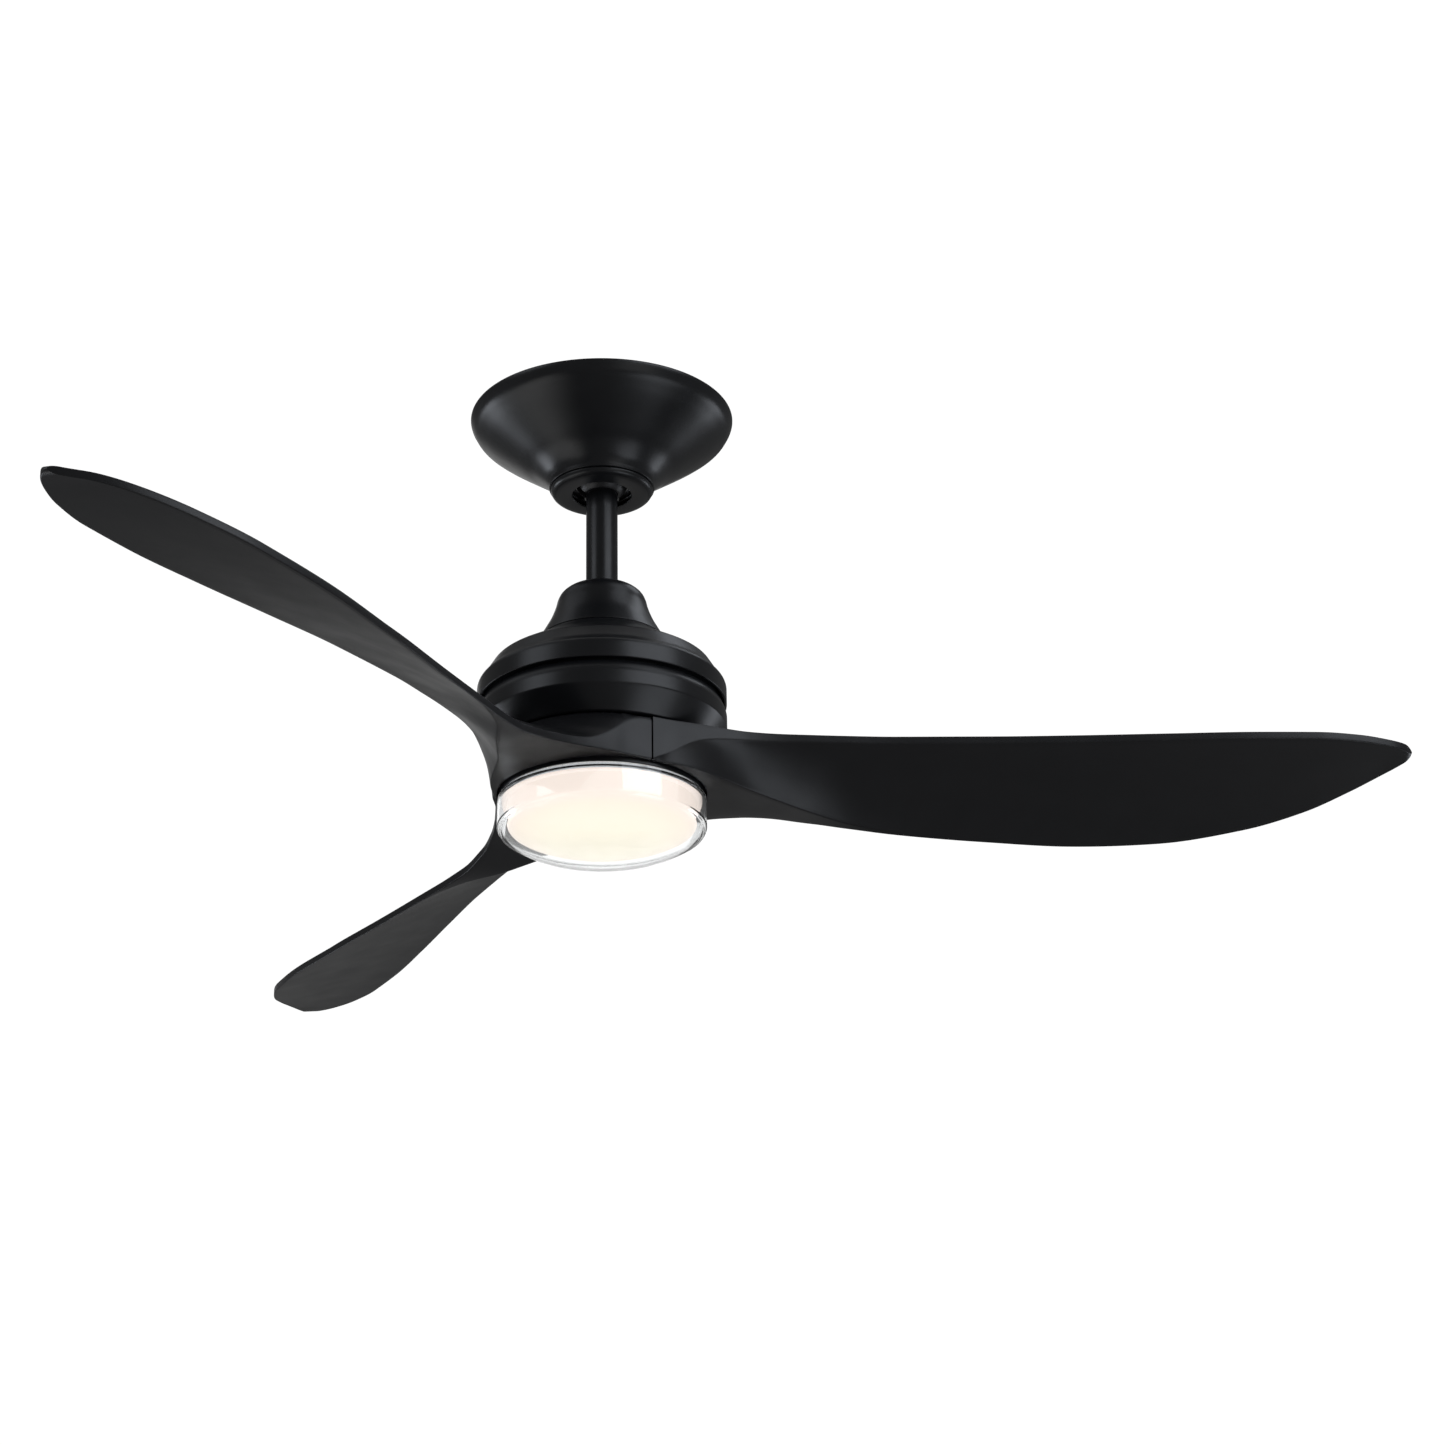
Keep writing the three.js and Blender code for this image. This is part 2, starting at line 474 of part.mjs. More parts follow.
// Sections across a blade, from the middle of the fan outwards. Each is taken at one distance out along the blade.
// lead and trail are [across, top z, bottom z] of the two edges, ridge is [across, z] of the crease on the
// underside, and crown is how far the top stands above the straight line between the edges.
const SEAM = Math.tan(Math.PI / BLADE_COUNT);
const EDGE = 6.5; // thickness of a blade's edge
const edge = (across, middle) => [across, middle + EDGE / 2, middle - EDGE / 2];
const BLADE_SECTIONS = [
  { out: 62, lead: [68.5, -309.4, -335], trail: [-67, -312, -346.3], ridge: [66.9, -346.8] },
  { out: 74, lead: [64, -309.8, -327.5], trail: [-61.5, -325, -346.4], ridge: [59.5, -347.1] },
  { out: 85, lead: [60, -310.2, -323.3], trail: [-56.4, -333, -347], ridge: [51, -347.6] },
  { out: 101, lead: [53.5, -310.7, -320.6], trail: [-50, -339.6, -348.7], ridge: [36.5, -348.9], crown: 9 },
  { out: 120, lead: [46.5, -311.2, -319.1], trail: [-44.5, -343.6, -350.8], ridge: [20, -351.4], crown: 6 },
  { out: 145, lead: [41.4, -311.6, -318.5], trail: [-40.6, -348.1, -354.8], ridge: [3, -355.7], crown: 4 },
  { out: 169, lead: edge(38.8, -315.2), trail: edge(-40.6, -355.6), ridge: [-13, -359.2], crown: 3 },
  { out: 200, lead: edge(36.2, -315.8), trail: edge(-45, -359.2), ridge: [-35, -361.5], crown: 3 },
  { out: 240, lead: edge(34, -316.6), trail: edge(-53, -362.6), ridge: [-50, -364.6], crown: 3 },
  { out: 315, lead: edge(34.8, -318.6), trail: edge(-65.6, -366.1), crown: 3 },
  { out: 385, lead: edge(38.7, -321.1), trail: edge(-76, -367.7), crown: 3 },
  { out: 460, lead: edge(44, -323.6), trail: edge(-80.5, -365.2), crown: 3 },
  { out: 530, lead: edge(47.6, -325.5), trail: edge(-72.5, -357.9), crown: 2.5 },
  { out: 580, lead: edge(46.6, -326.5), trail: edge(-56, -349.2), crown: 1.5 },
  { out: 615, lead: edge(40.2, -327.3), trail: edge(-35, -340.4), crown: 0.8 },
  { out: 638, lead: edge(31, -328), trail: edge(-15.5, -334.6), crown: 0.4 },
  { out: 652, lead: edge(22.4, -328.3), trail: edge(0.5, -332), crown: 0 },
  { out: 659, lead: edge(14.5, -328.8), trail: edge(9, -330.2), crown: 0 },
];

const mix = (a, b, share) => a + (b - a) * share;

// The closed outline of a section as [across, z]: along the top from trail to lead, then back underneath.
function sectionOutline({ out, lead, trail, ridge, crown = 0 }) {
  const shares = [0.25, 0.5, 0.75];
  const insideRim = out < HUB_RIM_RADIUS;
  const rim = insideRim ? Math.max(-Math.sqrt(HUB_RIM_RADIUS ** 2 - out ** 2), trail[0] + 1) : 0;
  const topPoints = shares.map((share) => {
    if (insideRim) return [mix(rim, lead[0], (share - 0.25) * 1.9), HUB_TOP_Z];
    const lift = crown * 4 * share * (1 - share);
    return [mix(trail[0], lead[0], share), mix(trail[1], lead[1], share) + lift];
  });
  const crease = ridge ?? [mix(trail[0], lead[0], 0.04), mix(trail[2], lead[2], 0.04)];
  const hollow = [0.67, 0.33].map((share) => (
    [mix(crease[0], lead[0], share), mix(crease[1], lead[2], share) + Math.min(crown, 3) * 0.8]
  ));
  const shelf = [mix(trail[0], crease[0], 0.5), mix(trail[2], crease[1], 0.5)];
  const top = [[trail[0], trail[1]], ...topPoints, [lead[0], lead[1]]];
  return [...top, [lead[0], lead[2]], ...hollow, crease, shelf, [trail[0], trail[2]]];
}

// Two sections inside the hub run from seam to seam, so the three blades close into one round hub.
function hubSection(out) {
  const half = out * SEAM - GAP;
  return { out, lead: [half, HUB_TOP_Z, -346.5], trail: [-half, HUB_TOP_Z, -346.5], ridge: [half - 3, -346.6] };
}

// Joins the sections into one closed skin. The blade's length is along X and "across" points to -Y.
function bladeSkin() {
  const sections = [hubSection(20), hubSection(45), ...BLADE_SECTIONS];
  const rows = sections.map((section) => (
    sectionOutline(section).map(([across, z]) => new THREE.Vector3(section.out, -across, z))
  ));
  const corners = [];
  const triangle = (...points) => points.forEach((p) => corners.push(p.x, p.y, p.z));
  const around = rows[0].length;
  for (let i = 0; i + 1 < rows.length; i += 1) {
    for (let j = 0; j < around; j += 1) {
      const k = (j + 1) % around;
      triangle(rows[i][j], rows[i][k], rows[i + 1][k]);
      triangle(rows[i][j], rows[i + 1][k], rows[i + 1][j]);
    }
  }
  const cap = (row) => {
    const middle = row.reduce((sum, p) => sum.add(p), new THREE.Vector3()).divideScalar(around);
    row.forEach((p, j) => triangle(middle, p, row[(j + 1) % around]));
  };
  cap([...rows[0]].reverse());
  cap(rows[rows.length - 1]);
  const shape = new THREE.BufferGeometry();
  shape.setAttribute("position", new THREE.Float32BufferAttribute(corners, 3));
  return solid(shape);
}

function blade() {
  const skin = bladeSkin();
  const recess = rod(RECESS_RADIUS, -360, HUB_PLATE_Z, 2 * COARSE);
  const middle = rod(HUB_HOLE_RADIUS, -360, -300, MEDIUM);
  const holes = [-BLADE_SCREW_SPREAD, BLADE_SCREW_SPREAD].map((a) => (
    at(rod(2.5, -360, -300, SMALL), ...onCircle(BLADE_SCREW_CIRCLE, a))
  ));
  return cutBy(skin, [recess, middle, ...holes]);
}

piece("spinning_side", "rotor_cup", rotorCup(), aluminium());
piece("spinning_side", "rotor_top_cover", rotorTopCover(), aluminium());
const magnetRing = ring(MAGNET_INNER_RADIUS, MAGNET_OUTER_RADIUS, ROTOR_FLOOR_Z + GAP, ROTOR_RIM_Z, MEDIUM);
piece("spinning_side", "rotor_magnet_ring", magnetRing, magnetCeramic());
piece("spinning_side", "blade_plate", bladePlate(), steel());
bladeDegrees.forEach((degrees, i) => {
  piece("spinning_side", `blade_${i + 1}`, turnedTo(blade(), degrees), blackPlastic());
});
bladeScrewDegrees.forEach((degrees, i) => {
  const made = at(screw(4, 2.4, 2, HUB_PLATE_Z - GAP - 2.4, -305), ...onCircle(BLADE_SCREW_CIRCLE, degrees));
  piece("spinning_side", `blade_screw_${i + 1}`, made, steel());
});

// ---- Hanging side: light kit -------------------------------------------------------------------------------------
const POST_DEGREES = [60, 180, 300];
const POST_CIRCLE = 66;
const LUG_DEGREES = [0, 120, 240];
const LUG_HALF_WIDTH = 3; // degrees
const LUG_TRAVEL = 14; // degrees the shade turns to come free

// A wedge of a ring between two directions.
function ringPart(inner, outer, bottom, top, from, to) {
  const [start, end] = [from, to].map(THREE.MathUtils.degToRad);
  const shape = new THREE.Shape();
  shape.absarc(0, 0, outer, start, end, false);
  shape.absarc(0, 0, inner, end, start, true);
  return plate(shape, bottom, top, 5);
}

// The pan: an upturned cup with posts for the light board and an L-shaped slot for each bayonet lug.
function lightPan() {
  const cup = turned([
    [SHAFT_RADIUS + GAP, PAN_TOP_Z - 2], [SHAFT_RADIUS + GAP, PAN_TOP_Z], [PAN_RADIUS - 3, PAN_TOP_Z],
    [PAN_RADIUS, PAN_TOP_Z - 3], [PAN_RADIUS, PAN_RIM_Z], [PAN_RADIUS - 1.5, PAN_RIM_Z],
    [PAN_RADIUS - 1.5, PAN_TOP_Z - 3.6], [PAN_RADIUS - 3.6, PAN_TOP_Z - 2],
  ], COARSE);
  const posts = POST_DEGREES.map((a) => (
    at(ring(1.9, 4.5, LED_BOARD_Z + GAP, PAN_TOP_Z - 1.5, SMALL), ...onCircle(POST_CIRCLE, a))
  ));
  const slots = LUG_DEGREES.flatMap((a) => {
    const first = a - LUG_HALF_WIDTH - 0.6;
    const last = a + LUG_HALF_WIDTH + 0.6 + LUG_TRAVEL;
    const run = ringPart(PAN_RADIUS - 5, PAN_RADIUS + 5, LUG_TOP_Z - 3.6, LUG_TOP_Z + GAP, first, last);
    const mouth = ringPart(PAN_RADIUS - 5, PAN_RADIUS + 5, PAN_RIM_Z - 5, LUG_TOP_Z, last - 8, last);
    return [run, mouth];
  });
  return cutBy(joined([cup, ...posts]), slots);
}

function shaftNut() {
  const hex = rod(14, -331, PAN_TOP_Z - 2 - GAP, 6);
  return hex.subtract(rod(SHAFT_RADIUS + GAP, -340, -320, FINE));
}

// The round aluminium board with its rings of light emitters.
function ledBoard() {
  const board = ring(4, 74, LED_BOARD_Z - 1.6, LED_BOARD_Z, MEDIUM);
  const emitter = block([-1.8, -1.8, LED_BOARD_Z - 2.4], [1.8, 1.8, LED_BOARD_Z - 1]);
  const rings = [[22, 6], [48, 12]];
  const emitters = rings.flatMap(([radius, count]) => (
    Array.from({ length: count }, (_, i) => turnedTo(at(emitter, radius, 0), (i * 360) / count))
  ));
  const holes = POST_DEGREES.map((a) => at(rod(2.2, -350, -340, SMALL), ...onCircle(POST_CIRCLE, a)));
  return cutBy(joined([board, ...emitters]), holes);
}

// The supply lead: down the rod, the yoke and the hollow shaft, then into the light's driver.
function supplyLead() {
  return wire(2.5, [
    [7.2, 0, -31.5], [7.2, 0, -70], [7.2, 0, -130], [7.2, 0, -180], [6.6, 0, -190], [2.4, 0, -200], [0, 0, -212],
    [0, 0, -260], [0, 0, -310], [0, 0, -332], [0.3, 0, -337], [3.8, 0, -339.6], [9, 0, -339], [13.6, 0, -336.2],
    [17, 0, -335.2], [19.6, 0, -335],
  ], 36);
}

piece("hanging_side", "light_pan", lightPan(), blackPaint());
piece("hanging_side", "shaft_nut", shaftNut(), steel());
const ledDriver = at(roundedBlock(19, 26, 3, LED_BOARD_Z + 3, -325.5), 39, 0);
piece("hanging_side", "led_driver", ledDriver, whiteMoulding());
piece("hanging_side", "led_board", ledBoard(), aluminium());
POST_DEGREES.forEach((degrees, i) => {
  const made = at(screw(3.4, 1.8, 1.6, LED_BOARD_Z - 1.6 - GAP - 1.8, -330), ...onCircle(POST_CIRCLE, degrees));
  piece("hanging_side", `led_board_screw_${i + 1}`, made, steel());
});
piece("hanging_side", "supply_lead", supplyLead(), cableJacket());
piece("hanging_side", "lead_connector", block([2.4, -3.5, -31.2], [12, 3.5, -27]), whiteMoulding());

// ---- Light cover: clear drum with bayonet lugs, and the opal cup inside it ---------------------------------------
function clearShade() {
  const drum = turned([
    [0, SHADE_BOTTOM_Z], [30, -394.8], [55, -391], [70, -385.6], [80, -380.2], [84, -377.6], [SHADE_RADIUS, -374.4],
    [SHADE_RADIUS, SHADE_TOP_Z - 1], [84.6, SHADE_TOP_Z], [NECK_RADIUS, SHADE_TOP_Z], [NECK_RADIUS, LUG_TOP_Z],
    [80.6, LUG_TOP_Z], [80.6, -351.6], [82.4, -354], [82.4, -373.4], [81.2, -376], [77.8, -378.4], [68.4, -383.4],
    [54, -388.4], [30, -392.1], [0, -392.6],
  ], COARSE);
  const lugs = LUG_DEGREES.map((a) => (
    ringPart(NECK_RADIUS - 0.9, PAN_RADIUS, LUG_TOP_Z - 3, LUG_TOP_Z, a - LUG_HALF_WIDTH, a + LUG_HALF_WIDTH)
  ));
  return joined([drum, ...lugs]);
}

// The cup's rim clips in under the shade's neck.
function opalCup() {
  return turned([
    [0, -385.4], [30, -384.4], [55, -380.8], [69, -376.6], [75, -373.8], [77.6, -370.4], [77.6, -356.4], [82, -356.4],
    [82, -354.8], [76, -354.8], [76, -369.6], [73.6, -372.2], [68.2, -375], [54.6, -379.1], [30, -382.7], [0, -383.7],
  ], COARSE);
}

piece("light_cover", "clear_shade", clearShade(), clearAcrylic());
piece("light_cover", "opal_diffuser", opalCup(), opalAcrylic());

export default fan;
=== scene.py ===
"""A three-bladed ceiling fan with a round light, hung from a ceiling bowl on a short rod.

Origin: the fan's axis at the ceiling plane, +Z up. Profiles are [radius, height] in millimetres.
"""

import json
import math

import bmesh
import bpy
import numpy as np
from mathutils import Matrix, Vector


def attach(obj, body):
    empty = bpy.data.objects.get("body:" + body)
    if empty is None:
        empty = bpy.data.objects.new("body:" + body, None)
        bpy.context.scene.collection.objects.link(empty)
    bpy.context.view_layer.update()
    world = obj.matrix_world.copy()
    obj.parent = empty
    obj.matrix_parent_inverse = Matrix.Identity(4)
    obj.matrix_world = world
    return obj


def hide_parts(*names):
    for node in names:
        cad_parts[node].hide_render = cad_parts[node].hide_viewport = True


MM = 0.001

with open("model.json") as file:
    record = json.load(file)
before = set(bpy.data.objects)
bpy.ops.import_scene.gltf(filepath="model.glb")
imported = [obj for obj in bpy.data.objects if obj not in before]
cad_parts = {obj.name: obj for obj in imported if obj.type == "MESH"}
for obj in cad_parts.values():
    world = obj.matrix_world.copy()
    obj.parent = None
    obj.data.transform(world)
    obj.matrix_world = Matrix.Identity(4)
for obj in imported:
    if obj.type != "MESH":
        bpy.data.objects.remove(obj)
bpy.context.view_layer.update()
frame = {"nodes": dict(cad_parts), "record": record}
nodes = frame["nodes"]
scene = bpy.context.scene

# ---- Camera ------------------------------------------------------------------------------------------------
CAMERA_PLACE = (0.0, -2.5768, -1.3894)
CAMERA_YAW = math.radians(2.211)
CAMERA_PITCH = math.radians(23.267)
CAMERA_ROLL = math.radians(-0.905)
CAMERA_LENS = 84.66
SENSOR = 36.0


def make_camera():
    look = Vector((
        math.sin(CAMERA_YAW) * math.cos(CAMERA_PITCH),
        math.cos(CAMERA_YAW) * math.cos(CAMERA_PITCH),
        math.sin(CAMERA_PITCH),
    ))
    right = Vector((math.cos(CAMERA_YAW), -math.sin(CAMERA_YAW), 0.0))
    up = right.cross(look)
    rolled_right = math.cos(CAMERA_ROLL) * right + math.sin(CAMERA_ROLL) * up
    rolled_up = math.cos(CAMERA_ROLL) * up - math.sin(CAMERA_ROLL) * right
    data = bpy.data.cameras.new("camera")
    data.lens = CAMERA_LENS
    data.sensor_width = SENSOR
    data.clip_end = 60.0
    camera = bpy.data.objects.new("camera", data)
    scene.collection.objects.link(camera)
    turn = Matrix((rolled_right, rolled_up, -look)).transposed()
    camera.matrix_world = Matrix.Translation(CAMERA_PLACE) @ turn.to_4x4()
    scene.camera = camera


make_camera()


# ---- Outlines ----------------------------------------------------------------------------------------------
def smooth_run(points, steps=6):
    """A rounded curve through the points, as a list of points."""
    p = [np.array(q, float) for q in points]
    p = [2 * p[0] - p[1]] + p + [2 * p[-1] - p[-2]]
    made = []
    for a, b, c, d in zip(p[:-3], p[1:-2], p[2:-1], p[3:]):
        for i in range(steps):
            t = i / steps
            made.append(
                0.5 * (2 * b + (c - a) * t + (2 * a - 5 * b + 4 * c - d) * t ** 2
                       + (3 * b - 3 * c + d - a) * t ** 3)
            )
    made.append(p[-2])
    return [tuple(q) for q in made]


def rounded(points, steps=5):
    """The closed outline with each corner given as (r, z, radius) rounded by that much."""
    made = []
    n = len(points)
    for i, q in enumerate(points):
        corner = np.array(q[:2], float)
        if len(q) < 3:
            made.append(tuple(corner))
            continue
        before = np.array(points[i - 1][:2], float) - corner
        after = np.array(points[(i + 1) % n][:2], float) - corner
        reach = min(q[2], 0.45 * np.linalg.norm(before), 0.45 * np.linalg.norm(after))
        start = corner + before / np.linalg.norm(before) * reach
        end = corner + after / np.linalg.norm(after) * reach
        for k in range(steps + 1):
            t = k / steps
            made.append(tuple((1 - t) ** 2 * start + 2 * t * (1 - t) * corner + t ** 2 * end))
    return made


# ---- Meshes ------------------------------------------------------------------------------------------------
ROUND = 192


def new_object(name, verts, faces, sharp=32):
    """A mesh object of those points and faces, smooth except across edges sharper than that many degrees."""
    mesh = bpy.data.meshes.new(name)
    mesh.from_pydata([tuple(v) for v in verts], [], faces)
    made = bpy.data.objects.new(name, mesh)
    scene.collection.objects.link(made)
    bm = bmesh.new()
    bm.from_mesh(mesh)
    bmesh.ops.remove_doubles(bm, verts=bm.verts, dist=1e-6)
    bmesh.ops.recalc_face_normals(bm, faces=bm.faces)
    bm.to_mesh(mesh)
    bm.free()
    smooth(made, sharp)
    return made


def smooth(made, sharp=32):
    made.data.shade_smooth()
    made.data.set_sharp_from_angle(angle=math.radians(sharp))


def spin(name, outline, around=ROUND, sharp=32):
    """A closed outline of (radius, height) points turned about the Z axis."""
    verts, rows = [], []
    for r, z in outline:
        if r < 1e-6:
            rows.append([len(verts)] * around)
            verts.append((0, 0, z * MM))
            continue
        rows.append(list(range(len(verts), len(verts) + around)))
        for k in range(around):
            a = 2 * math.pi * k / around
            verts.append((r * MM * math.cos(a), r * MM * math.sin(a), z * MM))
    faces = []
    for i, row in enumerate(rows):
        below = rows[(i + 1) % len(rows)]
        for k in range(around):
            m = (k + 1) % around
            face = list(dict.fromkeys((row[k], row[m], below[m], below[k])))
            if len(face) > 2:
                faces.append(face)
    return new_object(name, verts, faces, sharp)


def tube_cutter(radius, low, high, x=0.0, y=0.0, around=48):
    """An upright cylinder to take away, centred on (x, y)."""
    verts, n = [], around
    for z in (low, high):
        for k in range(n):
            a = 2 * math.pi * k / n
            verts.append((
                (x + radius * math.cos(a)) * MM,
                (y + radius * math.sin(a)) * MM,
                z * MM,
            ))
    faces = [[k, (k + 1) % n, n + (k + 1) % n, n + k] for k in range(n)]
    faces += [list(range(n))[::-1], list(range(n, 2 * n))]
    return new_object("cutter", verts, faces)


def ring_block(name, inner, outer, low, high, first, last, steps=8):
    """A wedge of a ring between two directions in degrees."""
    verts, faces = [], []
    for i in range(steps + 1):
        a = math.radians(first + (last - first) * i / steps)
        for r, z in ((inner, low), (outer, low), (outer, high), (inner, high)):
            verts.append((r * MM * math.cos(a), r * MM * math.sin(a), z * MM))
    for i in range(steps):
        for j in range(4):
            k = (j + 1) % 4
            faces.append([4 * i + j, 4 * i + k, 4 * i + 4 + k, 4 * i + 4 + j])
    faces += [[0, 1, 2, 3], [4 * steps + j for j in (3, 2, 1, 0)]]
    return new_object(name, verts, faces)


def box_cutter(name, low, high):
    """A block to take away, between its lowest and highest corners."""
    x, y, z = [(a * MM, b * MM) for a, b in zip(low, high)]
    verts = [(x[i], y[j], z[k]) for k in (0, 1) for i, j in ((0, 0), (1, 0), (1, 1), (0, 1))]
    faces = [[3, 2, 1, 0], [4, 5, 6, 7]] + [[i, (i + 1) % 4, 4 + (i + 1) % 4, 4 + i] for i in range(4)]
    return new_object(name, verts, faces)


def cut(made, cutters, sharp=32):
    """Takes the cutters out of the piece, and removes them."""
    for tool in cutters:
        step = made.modifiers.new("cut", "BOOLEAN")
        step.operation = "DIFFERENCE"
        step.solver = "EXACT"
        step.object = tool
        apply_all(made)
        bpy.data.objects.remove(tool)
    smooth(made, sharp)
    return made


def apply_all(made):
    graph = bpy.context.evaluated_depsgraph_get()
    mesh = bpy.data.meshes.new_from_object(made.evaluated_get(graph))
    made.modifiers.clear()
    old = made.data
    made.data = mesh
    bpy.data.meshes.remove(old)


# ---- Materials ---------------------------------------------------------------------------------------------
def node_tree(name):
    """A new material with its node tree and its main shader."""
    made = bpy.data.materials.new(name)
    made.use_nodes = True
    tree = made.node_tree
    shader = tree.nodes["Principled BSDF"]
    return made, tree, shader


def noise(tree, scale, detail=3.0, stretch=(1, 1, 1)):
    """Noise fixed to the object, about 0.5 with most of it between 0.3 and 0.7."""
    place = tree.nodes.new("ShaderNodeTexCoord")
    mapping = tree.nodes.new("ShaderNodeMapping")
    mapping.inputs["Scale"].default_value = stretch
    tree.links.new(place.outputs["Object"], mapping.inputs["Vector"])
    made = tree.nodes.new("ShaderNodeTexNoise")
    made.inputs["Scale"].default_value = scale
    made.inputs["Detail"].default_value = detail
    tree.links.new(mapping.outputs["Vector"], made.inputs["Vector"])
    return made.outputs["Fac"]


def spread(tree, value, low, high):
    """Noise stretched to lie between low and high."""
    made = tree.nodes.new("ShaderNodeMapRange")
    made.inputs["From Min"].default_value = 0.3
    made.inputs["From Max"].default_value = 0.7
    made.inputs["To Min"].default_value = low
    made.inputs["To Max"].default_value = high
    tree.links.new(value, made.inputs["Value"])
    return made.outputs["Result"]


def finish(name, color, roughness, metallic=0.0, vary=0.04, blotch=35.0, grain=1400.0, depth=0.02,
           shade=0.12, stretch=(1, 1, 1), **values):
    """A surface whose roughness and tone drift a little, with a fine grain in relief."""
    made, tree, shader = node_tree(name)
    drift = noise(tree, blotch, 4.0, stretch)
    fine = noise(tree, grain, 2.0, stretch)
    tree.links.new(spread(tree, drift, roughness - vary, roughness + vary), shader.inputs["Roughness"])
    tone = tree.nodes.new("ShaderNodeMix")
    tone.data_type = "RGBA"
    tone.inputs["A"].default_value = (*[c * (1 - shade) for c in color], 1)
    tone.inputs["B"].default_value = (*[min(1, c * (1 + shade)) for c in color], 1)
    tree.links.new(drift, tone.inputs["Factor"])
    tree.links.new(tone.outputs["Result"], shader.inputs["Base Color"])
    bump = tree.nodes.new("ShaderNodeBump")
    bump.inputs["Strength"].default_value = 1.0
    bump.inputs["Distance"].default_value = depth * MM
    tree.links.new(fine, bump.inputs["Height"])
    tree.links.new(bump.outputs["Normal"], shader.inputs["Normal"])
    shader.inputs["Metallic"].default_value = metallic
    for key, value in values.items():
        shader.inputs[key.replace("_", " ")].default_value = value
    return made


PAINT_ROUGHNESS = 0.31
BLADE_ROUGHNESS = 0.37
PAINT_BLACK = (0.0085, 0.009, 0.0105)
BLADE_BLACK = (0.0095, 0.0098, 0.0115)
black_paint = finish("black_paint", PAINT_BLACK, PAINT_ROUGHNESS, vary=0.03, grain=1500, depth=0.005)
blade_plastic = finish("blade_plastic", BLADE_BLACK, BLADE_ROUGHNESS, vary=0.03, grain=1100, depth=0.007)
ball_plastic = finish("ball_plastic", (0.02, 0.02, 0.021), 0.42, vary=0.06, grain=900, depth=0.03)
black_moulding = finish("black_moulding", (0.02, 0.02, 0.021), 0.5, grain=900, depth=0.03)
zinc = finish("zinc", (0.5, 0.51, 0.53), 0.34, 1.0, vary=0.08, blotch=80, grain=700, depth=0.008, shade=0.1)
cast_iron = finish("cast_iron", (0.1, 0.1, 0.105), 0.55, 0.8, vary=0.08, grain=500, depth=0.06)
laminations = finish("laminations", (0.3, 0.31, 0.33), 0.45, 1.0, grain=250, depth=0.1, stretch=(0.02, 0.02, 9))
copper = finish("copper", (0.62, 0.26, 0.13), 0.3, 1.0, grain=600, depth=0.12, stretch=(1, 1, 4))
solder_mask = finish("solder_mask", (0.02, 0.13, 0.055), 0.35, vary=0.06, blotch=150, grain=600, depth=0.04)
bright_steel = finish(
    "bright_steel", (0.68, 0.69, 0.7), 0.2, 1.0, vary=0.05, blotch=120, grain=1600, depth=0.004,
)
cast_aluminium = finish("cast_aluminium", (0.66, 0.67, 0.69), 0.42, 1.0, vary=0.08, grain=800, depth=0.04)
ferrite = finish("ferrite", (0.06, 0.06, 0.065), 0.7, vary=0.08, grain=900, depth=0.05)
white_moulding = finish("white_moulding", (0.78, 0.78, 0.75), 0.45, grain=700, depth=0.02, shade=0.03)
rubber_jacket = finish("rubber_jacket", (0.02, 0.02, 0.02), 0.6, grain=1200, depth=0.03)

ACRYLIC_IOR = 1.49
clear_acrylic = finish(
    "clear_acrylic", (0.97, 0.98, 0.98), 0.03, vary=0.015, blotch=20, grain=300, depth=0.0006, shade=0.01,
    Transmission_Weight=1.0, IOR=ACRYLIC_IOR,
)


OPAL_GLOW = 1.02
OPAL_GLOW_ON_HUB = 0.14
OPAL_REACH = 79.6


